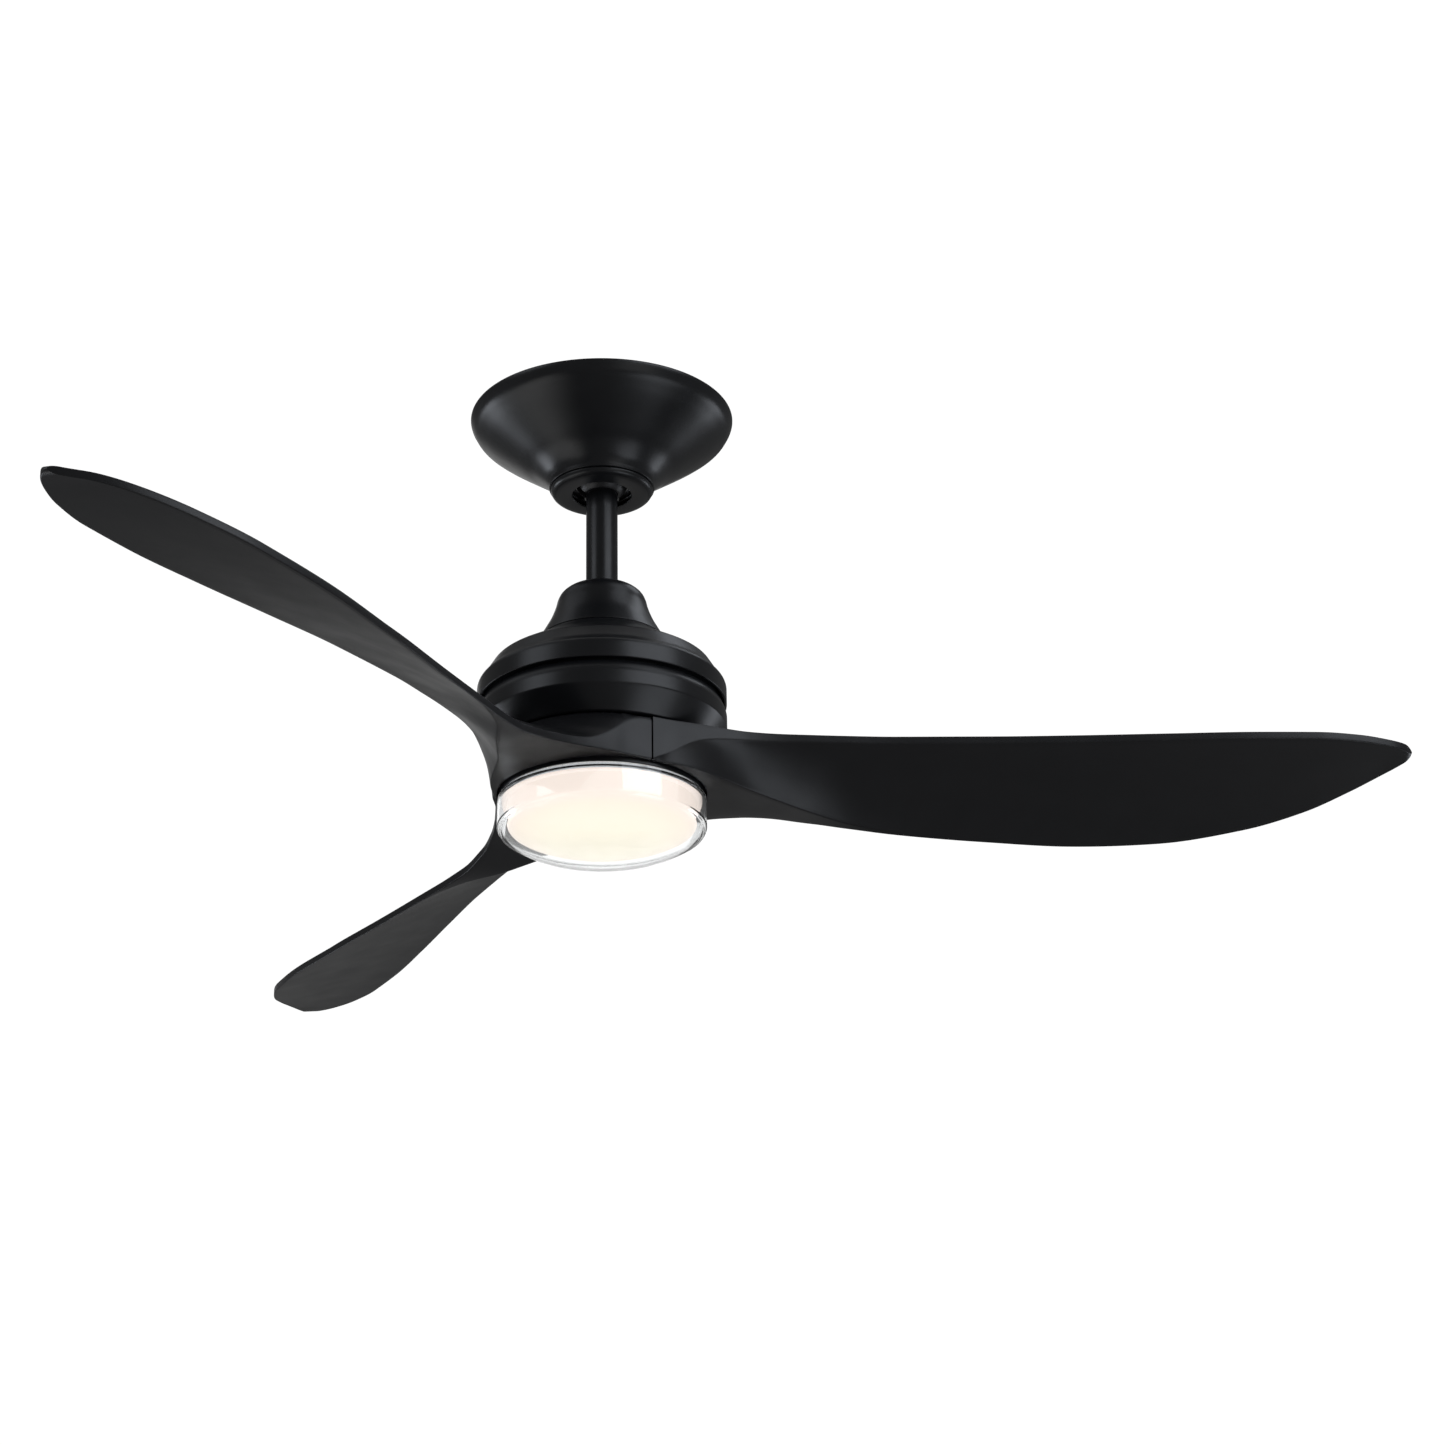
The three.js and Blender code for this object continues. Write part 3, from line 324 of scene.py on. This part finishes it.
def make_opal():
    """Opal acrylic lit from behind: brightest in the middle, warmer towards the wall."""
    made, tree, shader = node_tree("opal_acrylic")
    place = tree.nodes.new("ShaderNodeTexCoord")
    parts = tree.nodes.new("ShaderNodeSeparateXYZ")
    tree.links.new(place.outputs["Object"], parts.inputs["Vector"])
    flat = tree.nodes.new("ShaderNodeCombineXYZ")
    tree.links.new(parts.outputs["X"], flat.inputs["X"])
    tree.links.new(parts.outputs["Y"], flat.inputs["Y"])
    length = tree.nodes.new("ShaderNodeVectorMath")
    length.operation = "LENGTH"
    tree.links.new(flat.outputs["Vector"], length.inputs[0])
    reach = tree.nodes.new("ShaderNodeMapRange")
    reach.inputs["From Min"].default_value = 0.0
    reach.inputs["From Max"].default_value = OPAL_REACH * MM
    tree.links.new(length.outputs["Value"], reach.inputs["Value"])
    ramp = tree.nodes.new("ShaderNodeValToRGB")
    stops = [
        (0.0, (1.0, 0.93, 0.74)), (0.55, (1.0, 0.93, 0.76)), (0.85, (1.0, 0.88, 0.74)), (1.0, (0.98, 0.85, 0.78)),
    ]
    while len(ramp.color_ramp.elements) < len(stops):
        ramp.color_ramp.elements.new(0.5)
    for element, (where, color) in zip(ramp.color_ramp.elements, stops):
        element.position = where
        element.color = (*color, 1)
    tree.links.new(reach.outputs["Result"], ramp.inputs["Fac"])
    tree.links.new(ramp.outputs["Color"], shader.inputs["Emission Color"])
    paths = tree.nodes.new("ShaderNodeLightPath")
    bounces = tree.nodes.new("ShaderNodeMath")
    bounces.operation = "ADD"
    tree.links.new(paths.outputs["Glossy Depth"], bounces.inputs[0])
    tree.links.new(paths.outputs["Diffuse Depth"], bounces.inputs[1])
    strength = tree.nodes.new("ShaderNodeMapRange")
    strength.inputs["To Min"].default_value = OPAL_GLOW
    strength.inputs["To Max"].default_value = OPAL_GLOW_ON_HUB
    tree.links.new(bounces.outputs["Value"], strength.inputs["Value"])
    tree.links.new(strength.outputs["Result"], shader.inputs["Emission Strength"])
    shader.inputs["Base Color"].default_value = (0.1, 0.095, 0.085, 1)
    drift = noise(tree, 60, 3)
    tree.links.new(spread(tree, drift, 0.3, 0.4), shader.inputs["Roughness"])
    bump = tree.nodes.new("ShaderNodeBump")
    bump.inputs["Strength"].default_value = 1.0
    bump.inputs["Distance"].default_value = 0.01 * MM
    tree.links.new(noise(tree, 900, 2), bump.inputs["Height"])
    tree.links.new(bump.outputs["Normal"], shader.inputs["Normal"])
    return made


opal_acrylic = make_opal()

SLOT_MATERIALS = {
    "black_paint": black_paint,
    "zinc_steel": zinc,
    "black_plastic": black_moulding,
    "cast_yoke": cast_iron,
    "lamination_steel": laminations,
    "copper_wire": copper,
    "circuit_board": solder_mask,
    "bearing_steel": bright_steel,
    "cast_aluminium": cast_aluminium,
    "magnet": ferrite,
    "blade_plastic": blade_plastic,
    "white_plastic": white_moulding,
    "cable": rubber_jacket,
    "clear_acrylic": clear_acrylic,
    "opal_acrylic": opal_acrylic,
}
slot_of = {row["node"]: row["material_slot"] for row in frame["record"]["subparts"]}
for name, node in nodes.items():
    node.data.materials.clear()
    node.data.materials.append(SLOT_MATERIALS[slot_of[name]])


def add(made, node, body, material):
    """The piece stands for that node, rides on its body and takes its finish."""
    made.data.materials.clear()
    made.data.materials.append(material)
    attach(made, body)
    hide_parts(node)
    return made


# ---- Canopy, ring, ball ------------------------------------------------------------------------------------
CANOPY_FLOOR_Z = -65.0
CANOPY_HOLE_RADIUS = 27.0
canopy_outside = smooth_run([
    (111.3, -4), (107.5, -10.5), (100.5, -16.7), (91, -24), (70, -39), (58.5, -47), (50, -55), (46, -60.8),
    (44.9, -63.6),
])
canopy_inside = smooth_run([(43.2, -62.0), (44.6, -60.3), (57.2, -45.5), (90, -22.3), (106, -9.2)])
canopy = spin("canopy_shell", rounded(
    [(110.4, -0.2), (112, -0.2, 0.9), (112, -1.8, 0.8)] + canopy_outside
    + [(44.5, CANOPY_FLOOR_Z, 0.8), (CANOPY_HOLE_RADIUS, CANOPY_FLOOR_Z, 0.4)]
    + [(CANOPY_HOLE_RADIUS, CANOPY_FLOOR_Z + 1.5, 0.4)]
    + [(43, CANOPY_FLOOR_Z + 1.5)] + canopy_inside
))
SCREW_CIRCLE = 35.0
CANOPY_SCREW_AZIMUTHS = (math.radians(-45), math.radians(135))
cut(canopy, [
    tube_cutter(2.5, -70, -60, SCREW_CIRCLE * math.cos(a), SCREW_CIRCLE * math.sin(a))
    for a in CANOPY_SCREW_AZIMUTHS
])
add(canopy, "canopy", "ceiling_side", black_paint)

ring = spin("trim_ring", rounded([
    (43.2, -65.5, 0.3), (43.4, -66.6, 0.8), (42.2, -69, 1.2), (39.6, -70.6, 1.0), (36.5, -71, 1.2),
    (25.2, -71, 0.7), (25.2, -69.5, 0.3), (36.2, -69.5), (40.6, -67.8), (41.7, -65.5),
]))
add(ring, "canopy_ring", "trim_ring", black_paint)

BALL_RADIUS = 25.0
BALL_Z = -50.0
BALL_TOP_Z = -31.0
BALL_BOTTOM_Z = -70.1
BALL_BORE = 13.65
GROOVE_FLOOR_RADIUS = 19.8
GROOVE_HALF_WIDTH = 5.0
PIN_HOLE_RADIUS = 3.4
CROSS_PIN_Z = -38.0
CLEVIS_PIN_Z = -186.0


def make_ball():
    top = math.acos((BALL_TOP_Z - BALL_Z) / BALL_RADIUS)
    bottom = math.acos((BALL_BOTTOM_Z - BALL_Z) / BALL_RADIUS)
    steps = 40
    side = []
    for i in range(steps + 1):
        a = top + (bottom - top) * i / steps
        side.append((BALL_RADIUS * math.sin(a), BALL_Z + BALL_RADIUS * math.cos(a)))
    side[0] = (*side[0], 0.5)
    side[-1] = (*side[-1], 0.5)
    outline = side + [(BALL_BORE, BALL_BOTTOM_Z, 0.5), (BALL_BORE, BALL_TOP_Z, 0.5)]
    ball = spin("ball", rounded(outline), around=128)
    # The groove's floor is round about the swing axis, so that the bracket's key stays in it.
    half = GROOVE_HALF_WIDTH
    groove = ring_block("groove", GROOVE_FLOOR_RADIUS, 32, -half, half, 100, 260, steps=32)
    groove.data.transform(Matrix.Rotation(math.pi / 2, 4, "X"))
    groove.data.transform(Matrix.Translation((0, 0, BALL_Z * MM)))
    slot_floor = CROSS_PIN_Z - 3.3
    half = PIN_HOLE_RADIUS
    pin_slot = box_cutter("pin_slot", (-half, -30, slot_floor), (half, 30, slot_floor + 20))
    cut(ball, [groove, pin_slot])
    return ball


ball = make_ball()
add(ball, "hanger_ball", "hanging_side", ball_plastic)


# ---- Rod and coupling cover --------------------------------------------------------------------------------
ROD_RADIUS = 13.35
ROD_BORE_RADIUS = 10.9
ROD_TOP_Z = -33.5
ROD_BOTTOM_Z = -196.0


def cross_hole(made, radius, z):
    """Drills through the piece along Y at that height."""
    tool = tube_cutter(radius, -40, 40)
    tool.data.transform(Matrix.Rotation(math.pi / 2, 4, "X"))
    tool.data.transform(Matrix.Translation((0, 0, z * MM)))
    cut(made, [tool])


rod = spin("rod", rounded([
    (ROD_BORE_RADIUS, ROD_TOP_Z, 0.4), (ROD_RADIUS, ROD_TOP_Z, 0.5),
    (ROD_RADIUS, ROD_BOTTOM_Z, 0.5), (ROD_BORE_RADIUS, ROD_BOTTOM_Z, 0.4),
]), around=96)
cross_hole(rod, PIN_HOLE_RADIUS, CROSS_PIN_Z)
cross_hole(rod, PIN_HOLE_RADIUS, CLEVIS_PIN_Z)
add(rod, "downrod", "hanging_side", black_paint)

cover_outside = smooth_run([
    (24, -160.6), (29.8, -162.8), (34.6, -167), (37.1, -172), (38.6, -178), (41, -185), (44, -192),
    (48.3, -200), (53.0, -208.4),
])
cover_inside = smooth_run([
    (51.0, -208.6), (42, -193), (36.4, -178.6), (34.6, -172), (28.8, -165), (23.6, -162.6),
])
cover = spin("cover_bell", rounded(
    [(14.2, -160.4, 0.5)] + cover_outside + [(53.4, -209.2, 0.3), (51.2, -209.2, 0.3)] + cover_inside
    + [(14.2, -162.4, 0.4)]
))
add(cover, "coupling_cover", "cover", black_paint)

# ---- Housings ----------------------------------------------------------------------------------------------
housing_dome = smooth_run([
    (53.2, -209.6), (55.6, -212), (60.9, -216), (71.2, -222), (81.5, -228), (89.2, -232.6),
])
upper = spin("upper_housing_shell", rounded(
    [(16, -209.6, 0.4)] + housing_dome
    + [(91.3, -234, 1.4), (98.7, -246, 2.0), (102.6, -250.5, 1.6), (103.3, -252.5, 0.9)]
    + [(103.3, -266.6, 0.8), (101.3, -266.6, 0.4), (101.3, -253), (89.6, -235.6), (50, -211.5), (16, -211.5)]
))
FLANGE_SCREW_CIRCLE = 26.5
FLANGE_SCREW_AZIMUTHS = [math.radians(a) for a in (30, 150, 270)]
cut(upper, [
    tube_cutter(2.4, -215, -200, FLANGE_SCREW_CIRCLE * math.cos(a), FLANGE_SCREW_CIRCLE * math.sin(a))
    for a in FLANGE_SCREW_AZIMUTHS
])
add(upper, "upper_housing", "hanging_side", black_paint)

lower = spin("lower_housing_shell", rounded([
    (96.4, -259, 0.3), (98.2, -259, 0.3), (98.2, -268.4, 0.3), (99.6, -268.4, 0.7), (102.8, -275.5, 1.2),
    (103.3, -278, 1.0), (103.3, -289, 0.9), (102.2, -290.6, 1.0), (89, -307.4, 0.8), (87.4, -308, 0.6),
    (58, -308, 0.4), (58, -306, 0.4), (86.4, -306), (101, -288.2), (101.3, -278), (96.4, -270.4),
]))
add(lower, "lower_housing", "hanging_side", black_paint)

# ---- Blades ------------------------------------------------------------------------------------------------
HUB_TOP_Z = -309.2
HUB_RIM_RADIUS = 87.5
RECESS_RADIUS = 86.2
RECESS_TOP_Z = -316.0
BLADE_SCREW_CIRCLE = 45.0
BLADE_SCREW_AZIMUTHS = (math.radians(-20), math.radians(20))
HUB_HOLE_RADIUS = 32.0
SEAM = math.tan(math.radians(60))
SEAM_GAP = 0.3
BLADE_AZIMUTHS = (-3.34, 116.66, 236.66)
# out, lead edge (across, top, bottom), trail edge (across, top before the rim's scoop, bottom), crease (across,
# height), crown of the top, and hollow of the underside.
SECTIONS = [
    (45, 77.6, -309.2, -346.5, -77.6, -343, -346.5, 74.6, -346.6, 2, 0),
    (62, 68.5, -309.4, -335, -67, -343, -346.3, 66.9, -346.8, 3, 0.6),
    (74, 64, -309.8, -327.5, -61.5, -343, -346.4, 59.5, -347.1, 4, 1.6),
    (85, 60, -310.2, -323.3, -56.4, -343, -347, 51, -347.6, 4.5, 2.2),
    (101, 53.5, -310.7, -320.6, -50, -343, -348.7, 36.5, -348.9, 5, 2.6),
    (120, 46.5, -311.2, -319.1, -44.5, -344.6, -350.8, 20, -351.4, 5, 2.6),
    (145, 41.4, -311.6, -318.5, -40.6, -348.3, -354.8, 3, -355.7, 4, 2.4),
    (169, 38.8, -311.95, -318.45, -40.6, -352.35, -358.85, -13, -359.2, 3, 2.4),
    (200, 36.2, -312.55, -319.05, -45, -355.95, -362.45, -35, -361.5, 3, 2.4),
    (240, 34, -313.35, -319.85, -53, -359.35, -365.85, -50, -364.6, 3, 2.4),
    (315, 34.8, -315.35, -321.85, -65.6, -362.85, -369.35, -61.6, -367.45, 3, 2.4),
    (385, 38.7, -317.85, -324.35, -76, -364.45, -370.95, -71.4, -369.1, 3, 2.4),
    (460, 44, -320.35, -326.85, -80.5, -361.95, -368.45, -75.5, -366.8, 3, 2.4),
    (530, 47.6, -322.25, -328.75, -72.5, -354.65, -361.15, -67.7, -359.85, 2.5, 2.0),
    (580, 46.6, -323.25, -329.75, -56, -345.95, -352.45, -51.9, -351.5, 1.5, 1.2),
    (615, 40.2, -324.05, -330.55, -35, -337.15, -343.65, -32, -343.1, 0.8, 0.6),
    (638, 31, -324.75, -331.25, -15.5, -331.35, -337.85, -13.6, -337.6, 0.4, 0.3),
    (652, 22.4, -325.05, -331.55, 0.5, -328.75, -335.25, 1.4, -335.1, 0, 0),
    (659, 14.5, -325.55, -332.05, 9, -326.95, -333.45, 9.2, -333.4, 0, 0),
]
TIP = 659.3
TIP_ROUND_START = 654.0
SCOOP_REACH = 11.5  # how far past the hub's rim the top takes to fall to the blade
SCOOP_POWER = 1.3


def along(x, xs, ys):
    """A smooth curve through (xs, ys) that never overshoots them, read at x."""
    h = np.diff(xs)
    d = np.diff(ys) / h
    m = np.zeros(len(xs))
    for i in range(1, len(xs) - 1):
        if d[i - 1] * d[i] > 0:
            a, b = 2 * h[i] + h[i - 1], h[i] + 2 * h[i - 1]
            m[i] = (a + b) / (a / d[i - 1] + b / d[i])
    m[0], m[-1] = d[0], d[-1]
    i = int(np.clip(np.searchsorted(xs, x) - 1, 0, len(h) - 1))
    t = (x - xs[i]) / h[i]
    return (
        (1 + 2 * t) * (1 - t) ** 2 * ys[i] + t * (1 - t) ** 2 * h[i] * m[i]
        + t * t * (3 - 2 * t) * ys[i + 1] - t * t * (1 - t) * h[i] * m[i + 1]
    )


def section(out):
    """The closed outline of the blade that far out, as (across, height) points."""
    table = np.array(SECTIONS, float)
    at = max(out, SECTIONS[0][0])
    lead, lead_top, lead_low, trail, trail_top, trail_low, crease, crease_z, crown, hollow = [
        along(at, table[:, 0], table[:, k]) for k in range(1, 11)
    ]
    if out < SECTIONS[0][0]:
        lead = out * SEAM - SEAM_GAP
        trail = -lead
        crease = lead - 3

    def top(s):
        across = trail + (lead - trail) * s
        base = trail_top + (lead_top - trail_top) * s + crown * 4 * s * (1 - s)
        past = max(0.0, math.hypot(out, across) - HUB_RIM_RADIUS)
        rise = math.exp(-((past / SCOOP_REACH) ** SCOOP_POWER))
        return across, base + (HUB_TOP_Z - base) * rise

    def underside(s):
        lift = hollow * (1 - abs(2 * s - 1) ** 2.4)
        return lead + (crease - lead) * s, lead_low + (crease_z - lead_low) * s + lift

    def straight(a, b):
        return lambda s: (a[0] + (b[0] - a[0]) * s, a[1] + (b[1] - a[1]) * s)

    sides = [
        (top, 34),
        (straight(top(1), (lead, lead_low)), 3),
        (underside, 24),
        (straight((crease, crease_z), (trail, trail_low)), 9),
        (straight((trail, trail_low), top(0)), 3),
    ]
    corner_size = [1.1, 1.1, 1.0, 1.1, 1.1]
    lengths = [math.dist(side(0), side(1)) for side, _ in sides]
    points = []
    for i, (side, count) in enumerate(sides):
        start = min(corner_size[i - 1], 0.35 * lengths[i], 0.35 * lengths[i - 1]) / max(lengths[i], 1e-6)
        ahead = (i + 1) % len(sides)
        end = min(corner_size[i], 0.35 * lengths[i], 0.35 * lengths[ahead]) / max(lengths[i], 1e-6)
        stops = [start + (1 - end - start) * k / (count - 1) for k in range(count)]
        points += [side(s) for s in stops]
        next_side = sides[ahead][0]
        begin = min(corner_size[i], 0.35 * lengths[i], 0.35 * lengths[ahead]) / max(lengths[ahead], 1e-6)
        a, c, b = np.array(side(1 - end)), np.array(side(1)), np.array(next_side(begin))
        for k in (1, 2, 3):
            t = k / 4
            points.append(tuple((1 - t) ** 2 * a + 2 * t * (1 - t) * c + t * t * b))
    return points


def blade_stations():
    """How far out each section of the blade is, closest together round the hub and at the tip."""
    hub = list(np.linspace(20, 44, 7))
    root = list(np.arange(45.5, 130, 1.5))
    span = list(np.arange(132, 560, 6.0))
    end = list(np.arange(563, 652, 3.0))
    tip = list(np.linspace(653, TIP, 9))
    return hub + root + span + end + tip


def make_blade(name, azimuth):
    """One blade with its third of the hub, skinned along +X and turned to its place."""
    rows = []
    for out in blade_stations():
        points = section(min(out, SECTIONS[-1][0]))
        rounding = max(0.0, (out - TIP_ROUND_START) / (TIP - TIP_ROUND_START))
        thin = math.sqrt(max(0.02, 1 - rounding ** 2))
        middle = sum(z for _, z in points) / len(points)
        centre = sum(a for a, _ in points) / len(points)
        narrow = 1.0 if rounding == 0 else 0.6 + 0.4 * thin
        rows.append([
            (out * MM, -(centre + (a - centre) * narrow) * MM, (middle + (z - middle) * thin) * MM)
            for a, z in points
        ])
    n = len(rows[0])
    verts = [p for row in rows for p in row]
    faces = []
    for i in range(len(rows) - 1):
        for j in range(n):
            k = (j + 1) % n
            faces.append([i * n + j, i * n + k, (i + 1) * n + k, (i + 1) * n + j])
    faces.append(list(range(n))[::-1])
    faces.append(list(range((len(rows) - 1) * n, len(rows) * n)))
    made = new_object(name, verts, faces)
    cut(made, [
        tube_cutter(RECESS_RADIUS, -362, RECESS_TOP_Z, around=240),
        tube_cutter(HUB_HOLE_RADIUS, -330, -300, around=96),
    ] + [
        tube_cutter(2.5, -330, -300, BLADE_SCREW_CIRCLE * math.cos(a), BLADE_SCREW_CIRCLE * math.sin(a), 24)
        for a in BLADE_SCREW_AZIMUTHS
    ], sharp=28)
    made.data.transform(Matrix.Rotation(math.radians(azimuth), 4, "Z"))
    return made


for i, azimuth in enumerate(BLADE_AZIMUTHS):
    add(make_blade(f"blade_shell_{i + 1}", azimuth), f"blade_{i + 1}", "rotor", blade_plastic)

# ---- Light -------------------------------------------------------------------------------------------------
pan = spin("light_pan_cup", rounded([
    (9.5, -324), (9.5, -322, 0.3), (81, -322, 1.0), (84, -325, 1.2), (84, -349.6, 0.5), (82.5, -349.6, 0.4),
    (82.5, -325.6), (80.4, -324),
]))
add(pan, "light_pan", "hanging_side", black_paint)

SHADE_RADIUS = 85.6
SHADE_BOTTOM_Z = -395.2
SHADE_WALL = 2.6
DOME_RISE = 19.0
DOME_POWER = 3.27


def dome(radius, depth=0.0):
    """How low the shade's domed bottom is that far from the axis, with a depth taken off along its slope."""
    share = radius / SHADE_RADIUS
    slope = DOME_RISE * DOME_POWER / SHADE_RADIUS * share ** (DOME_POWER - 1)
    return SHADE_BOTTOM_Z + DOME_RISE * share ** DOME_POWER + depth * math.hypot(1, slope)


dome_outside = [(r, dome(r)) for r in (83.4, 80, 75, 68, 60, 52, 44, 36, 28, 20, 12, 0)]
dome_inside = [(r, dome(r, SHADE_WALL)) for r in (0, 12, 20, 28, 36, 44, 52, 60, 68, 74, 78.4)]
shade_wall = rounded([
    (80.6, -343.6, 0.3), (81.6, -343.6, 0.3), (81.6, -350.6, 0.3), (84.6, -350.6, 0.5), (85.6, -351.6, 0.6),
    (85.6, -374.2, 0.2), (84.9, -376.1, 0.2), (83.9, -377.5, 0.2),
] + dome_outside + dome_inside + [
    (81.4, -375.6, 0.6), (82.4, -374, 0.6), (82.4, -354, 0.9), (80.6, -351.6, 0.9),
])
shade = spin("shade_drum", shade_wall, around=256, sharp=40)


def join(made, others):
    """Fuses the other pieces into the first one, and removes them."""
    for other in others:
        step = made.modifiers.new("join", "BOOLEAN")
        step.operation = "UNION"
        step.solver = "EXACT"
        step.object = other
        apply_all(made)
        bpy.data.objects.remove(other)
    return made


LUG_AZIMUTHS = (0, 120, 240)
join(shade, [ring_block(f"lug_{a}", 81.2, 84, -346.6, -343.6, a - 3, a + 3) for a in LUG_AZIMUTHS])
smooth(shade, 40)
add(shade, "clear_shade", "light_cover", clear_acrylic)

opal = spin("opal_cup", rounded([
    (0, -385.4), (15, -385.1), (30, -384.4), (42.5, -383), (55, -380.8), (63, -378.7), (69, -376.6),
    (75, -373.8, 1.5), (77.6, -370.4, 1.5), (77.6, -356.4, 0.4), (82, -356.4, 0.4), (82, -354.8, 0.4),
    (76, -354.8, 0.4), (76, -369.6, 1.2), (73.6, -372.2, 1.0), (68.2, -375), (62.4, -377), (54.6, -379.1),
    (42.2, -381.3), (30, -382.7), (15, -383.4), (0, -383.7),
]), around=256, sharp=40)
add(opal, "opal_diffuser", "light_cover", opal_acrylic)
opal.visible_diffuse = False
opal.visible_glossy = False

# ---- Studio ------------------------------------------------------------------------------------------------
FLOOR_Z = -2.4
FLOOR_HALF = 8.0


def make_floor():
    s = FLOOR_HALF
    floor = new_object(
        "floor", [(-s, -s, FLOOR_Z), (s, -s, FLOOR_Z), (s, s, FLOOR_Z), (-s, s, FLOOR_Z)], [[0, 1, 2, 3]]
    )
    floor.data.materials.append(finish(
        "floor_paper", (0.82, 0.82, 0.82), 0.8, grain=300, depth=0.1, shade=0.02, blotch=2,
        Emission_Color=(1, 1, 1, 1), Emission_Strength=0.75,
    ))
    floor.visible_diffuse = False
    floor.visible_glossy = False


make_floor()
AIM = Vector((0, 0, -0.25))
BOX_DISTANCE = 2.4


def soft_box(name, azimuth, elevation, width, height, power, color):
    """A rectangular light that faces the fan. Azimuth 0 is behind the fan (+Y), and 90 is at its right (+X)."""
    a, e = math.radians(azimuth), math.radians(elevation)
    way = Vector((math.sin(a) * math.cos(e), math.cos(a) * math.cos(e), math.sin(e)))
    data = bpy.data.lights.new(name, "AREA")
    data.shape = "RECTANGLE"
    data.size, data.size_y = width, height
    data.energy = power
    data.color = color
    made = bpy.data.objects.new(name, data)
    scene.collection.objects.link(made)
    made.location = AIM + way * BOX_DISTANCE
    made.rotation_euler = way.to_track_quat("Z", "Y").to_euler()
    made.visible_camera = False
    return made


COOL = (0.87, 0.92, 1.0)
NEUTRAL = (1.0, 1.0, 1.0)
# name, azimuth and elevation in degrees, width, height, power, color
SOFT_BOXES = [
    ("right_box", 135, 20, 1.9, 1.1, 13.0, COOL),
    ("right_high", 120, 52, 1.2, 1.2, 4.2, COOL),
    ("right_high_back", 60, 52, 0.9, 0.9, 3.6, COOL),
    ("right_back", 60, -16, 0.8, 0.9, 5.0, COOL),
    ("right_front", 150, -12, 1.2, 1.2, 2.3, NEUTRAL),
    ("right_low", 120, -45, 1.2, 1.2, 6.0, COOL),
    ("left_box", -120, 20, 1.2, 1.2, 5.6, COOL),
    ("left_high", -90, 52, 1.8, 1.2, 1.8, COOL),
    ("left_back", -60, -18, 0.8, 0.9, 7.0, COOL),
    ("left_low_front", -120, -45, 1.2, 1.2, 3.0, NEUTRAL),
    ("left_low", -85, -45, 1.2, 1.2, 3.4, NEUTRAL),
    ("back", -10, 20, 1.4, 1.2, 2.6, NEUTRAL),
    ("back_low", 0, -12, 1.2, 1.2, 0.5, NEUTRAL),
    ("top", 0, 85, 1.6, 1.6, 6.0, NEUTRAL),
]
for name, azimuth, elevation, width, height, power, color in SOFT_BOXES:
    soft_box(name, azimuth, elevation, width, height, power, color)

WORLD_GREY = 0.125
WORLD_WHITE = 1.05
MANY = 100.0  # more clear walls than any ray goes through


def make_world():
    """White where it is seen directly or through the clear shade, and a dim grey for what it lights."""
    world = bpy.data.worlds.new("studio")
    scene.world = world
    world.use_nodes = True
    tree = world.node_tree
    background = tree.nodes["Background"]
    paths = tree.nodes.new("ShaderNodeLightPath")
    scattered = tree.nodes.new("ShaderNodeMath")
    scattered.operation = "MULTIPLY"
    tree.links.new(paths.outputs["Diffuse Depth"], scattered.inputs[0])
    scattered.inputs[1].default_value = MANY
    clear = tree.nodes.new("ShaderNodeMath")
    clear.operation = "SUBTRACT"
    tree.links.new(paths.outputs["Transmission Depth"], clear.inputs[0])
    tree.links.new(scattered.outputs["Value"], clear.inputs[1])
    clear.use_clamp = True
    seen = tree.nodes.new("ShaderNodeMath")
    seen.operation = "MAXIMUM"
    tree.links.new(paths.outputs["Is Camera Ray"], seen.inputs[0])
    tree.links.new(clear.outputs["Value"], seen.inputs[1])
    mix = tree.nodes.new("ShaderNodeMix")
    mix.data_type = "RGBA"
    mix.inputs["A"].default_value = (WORLD_GREY, WORLD_GREY, WORLD_GREY, 1)
    mix.inputs["B"].default_value = (WORLD_WHITE, WORLD_WHITE, WORLD_WHITE, 1)
    tree.links.new(seen.outputs["Value"], mix.inputs["Factor"])
    tree.links.new(mix.outputs["Result"], background.inputs["Color"])


make_world()
scene.view_settings.view_transform = "Standard"
scene.view_settings.look = "None"
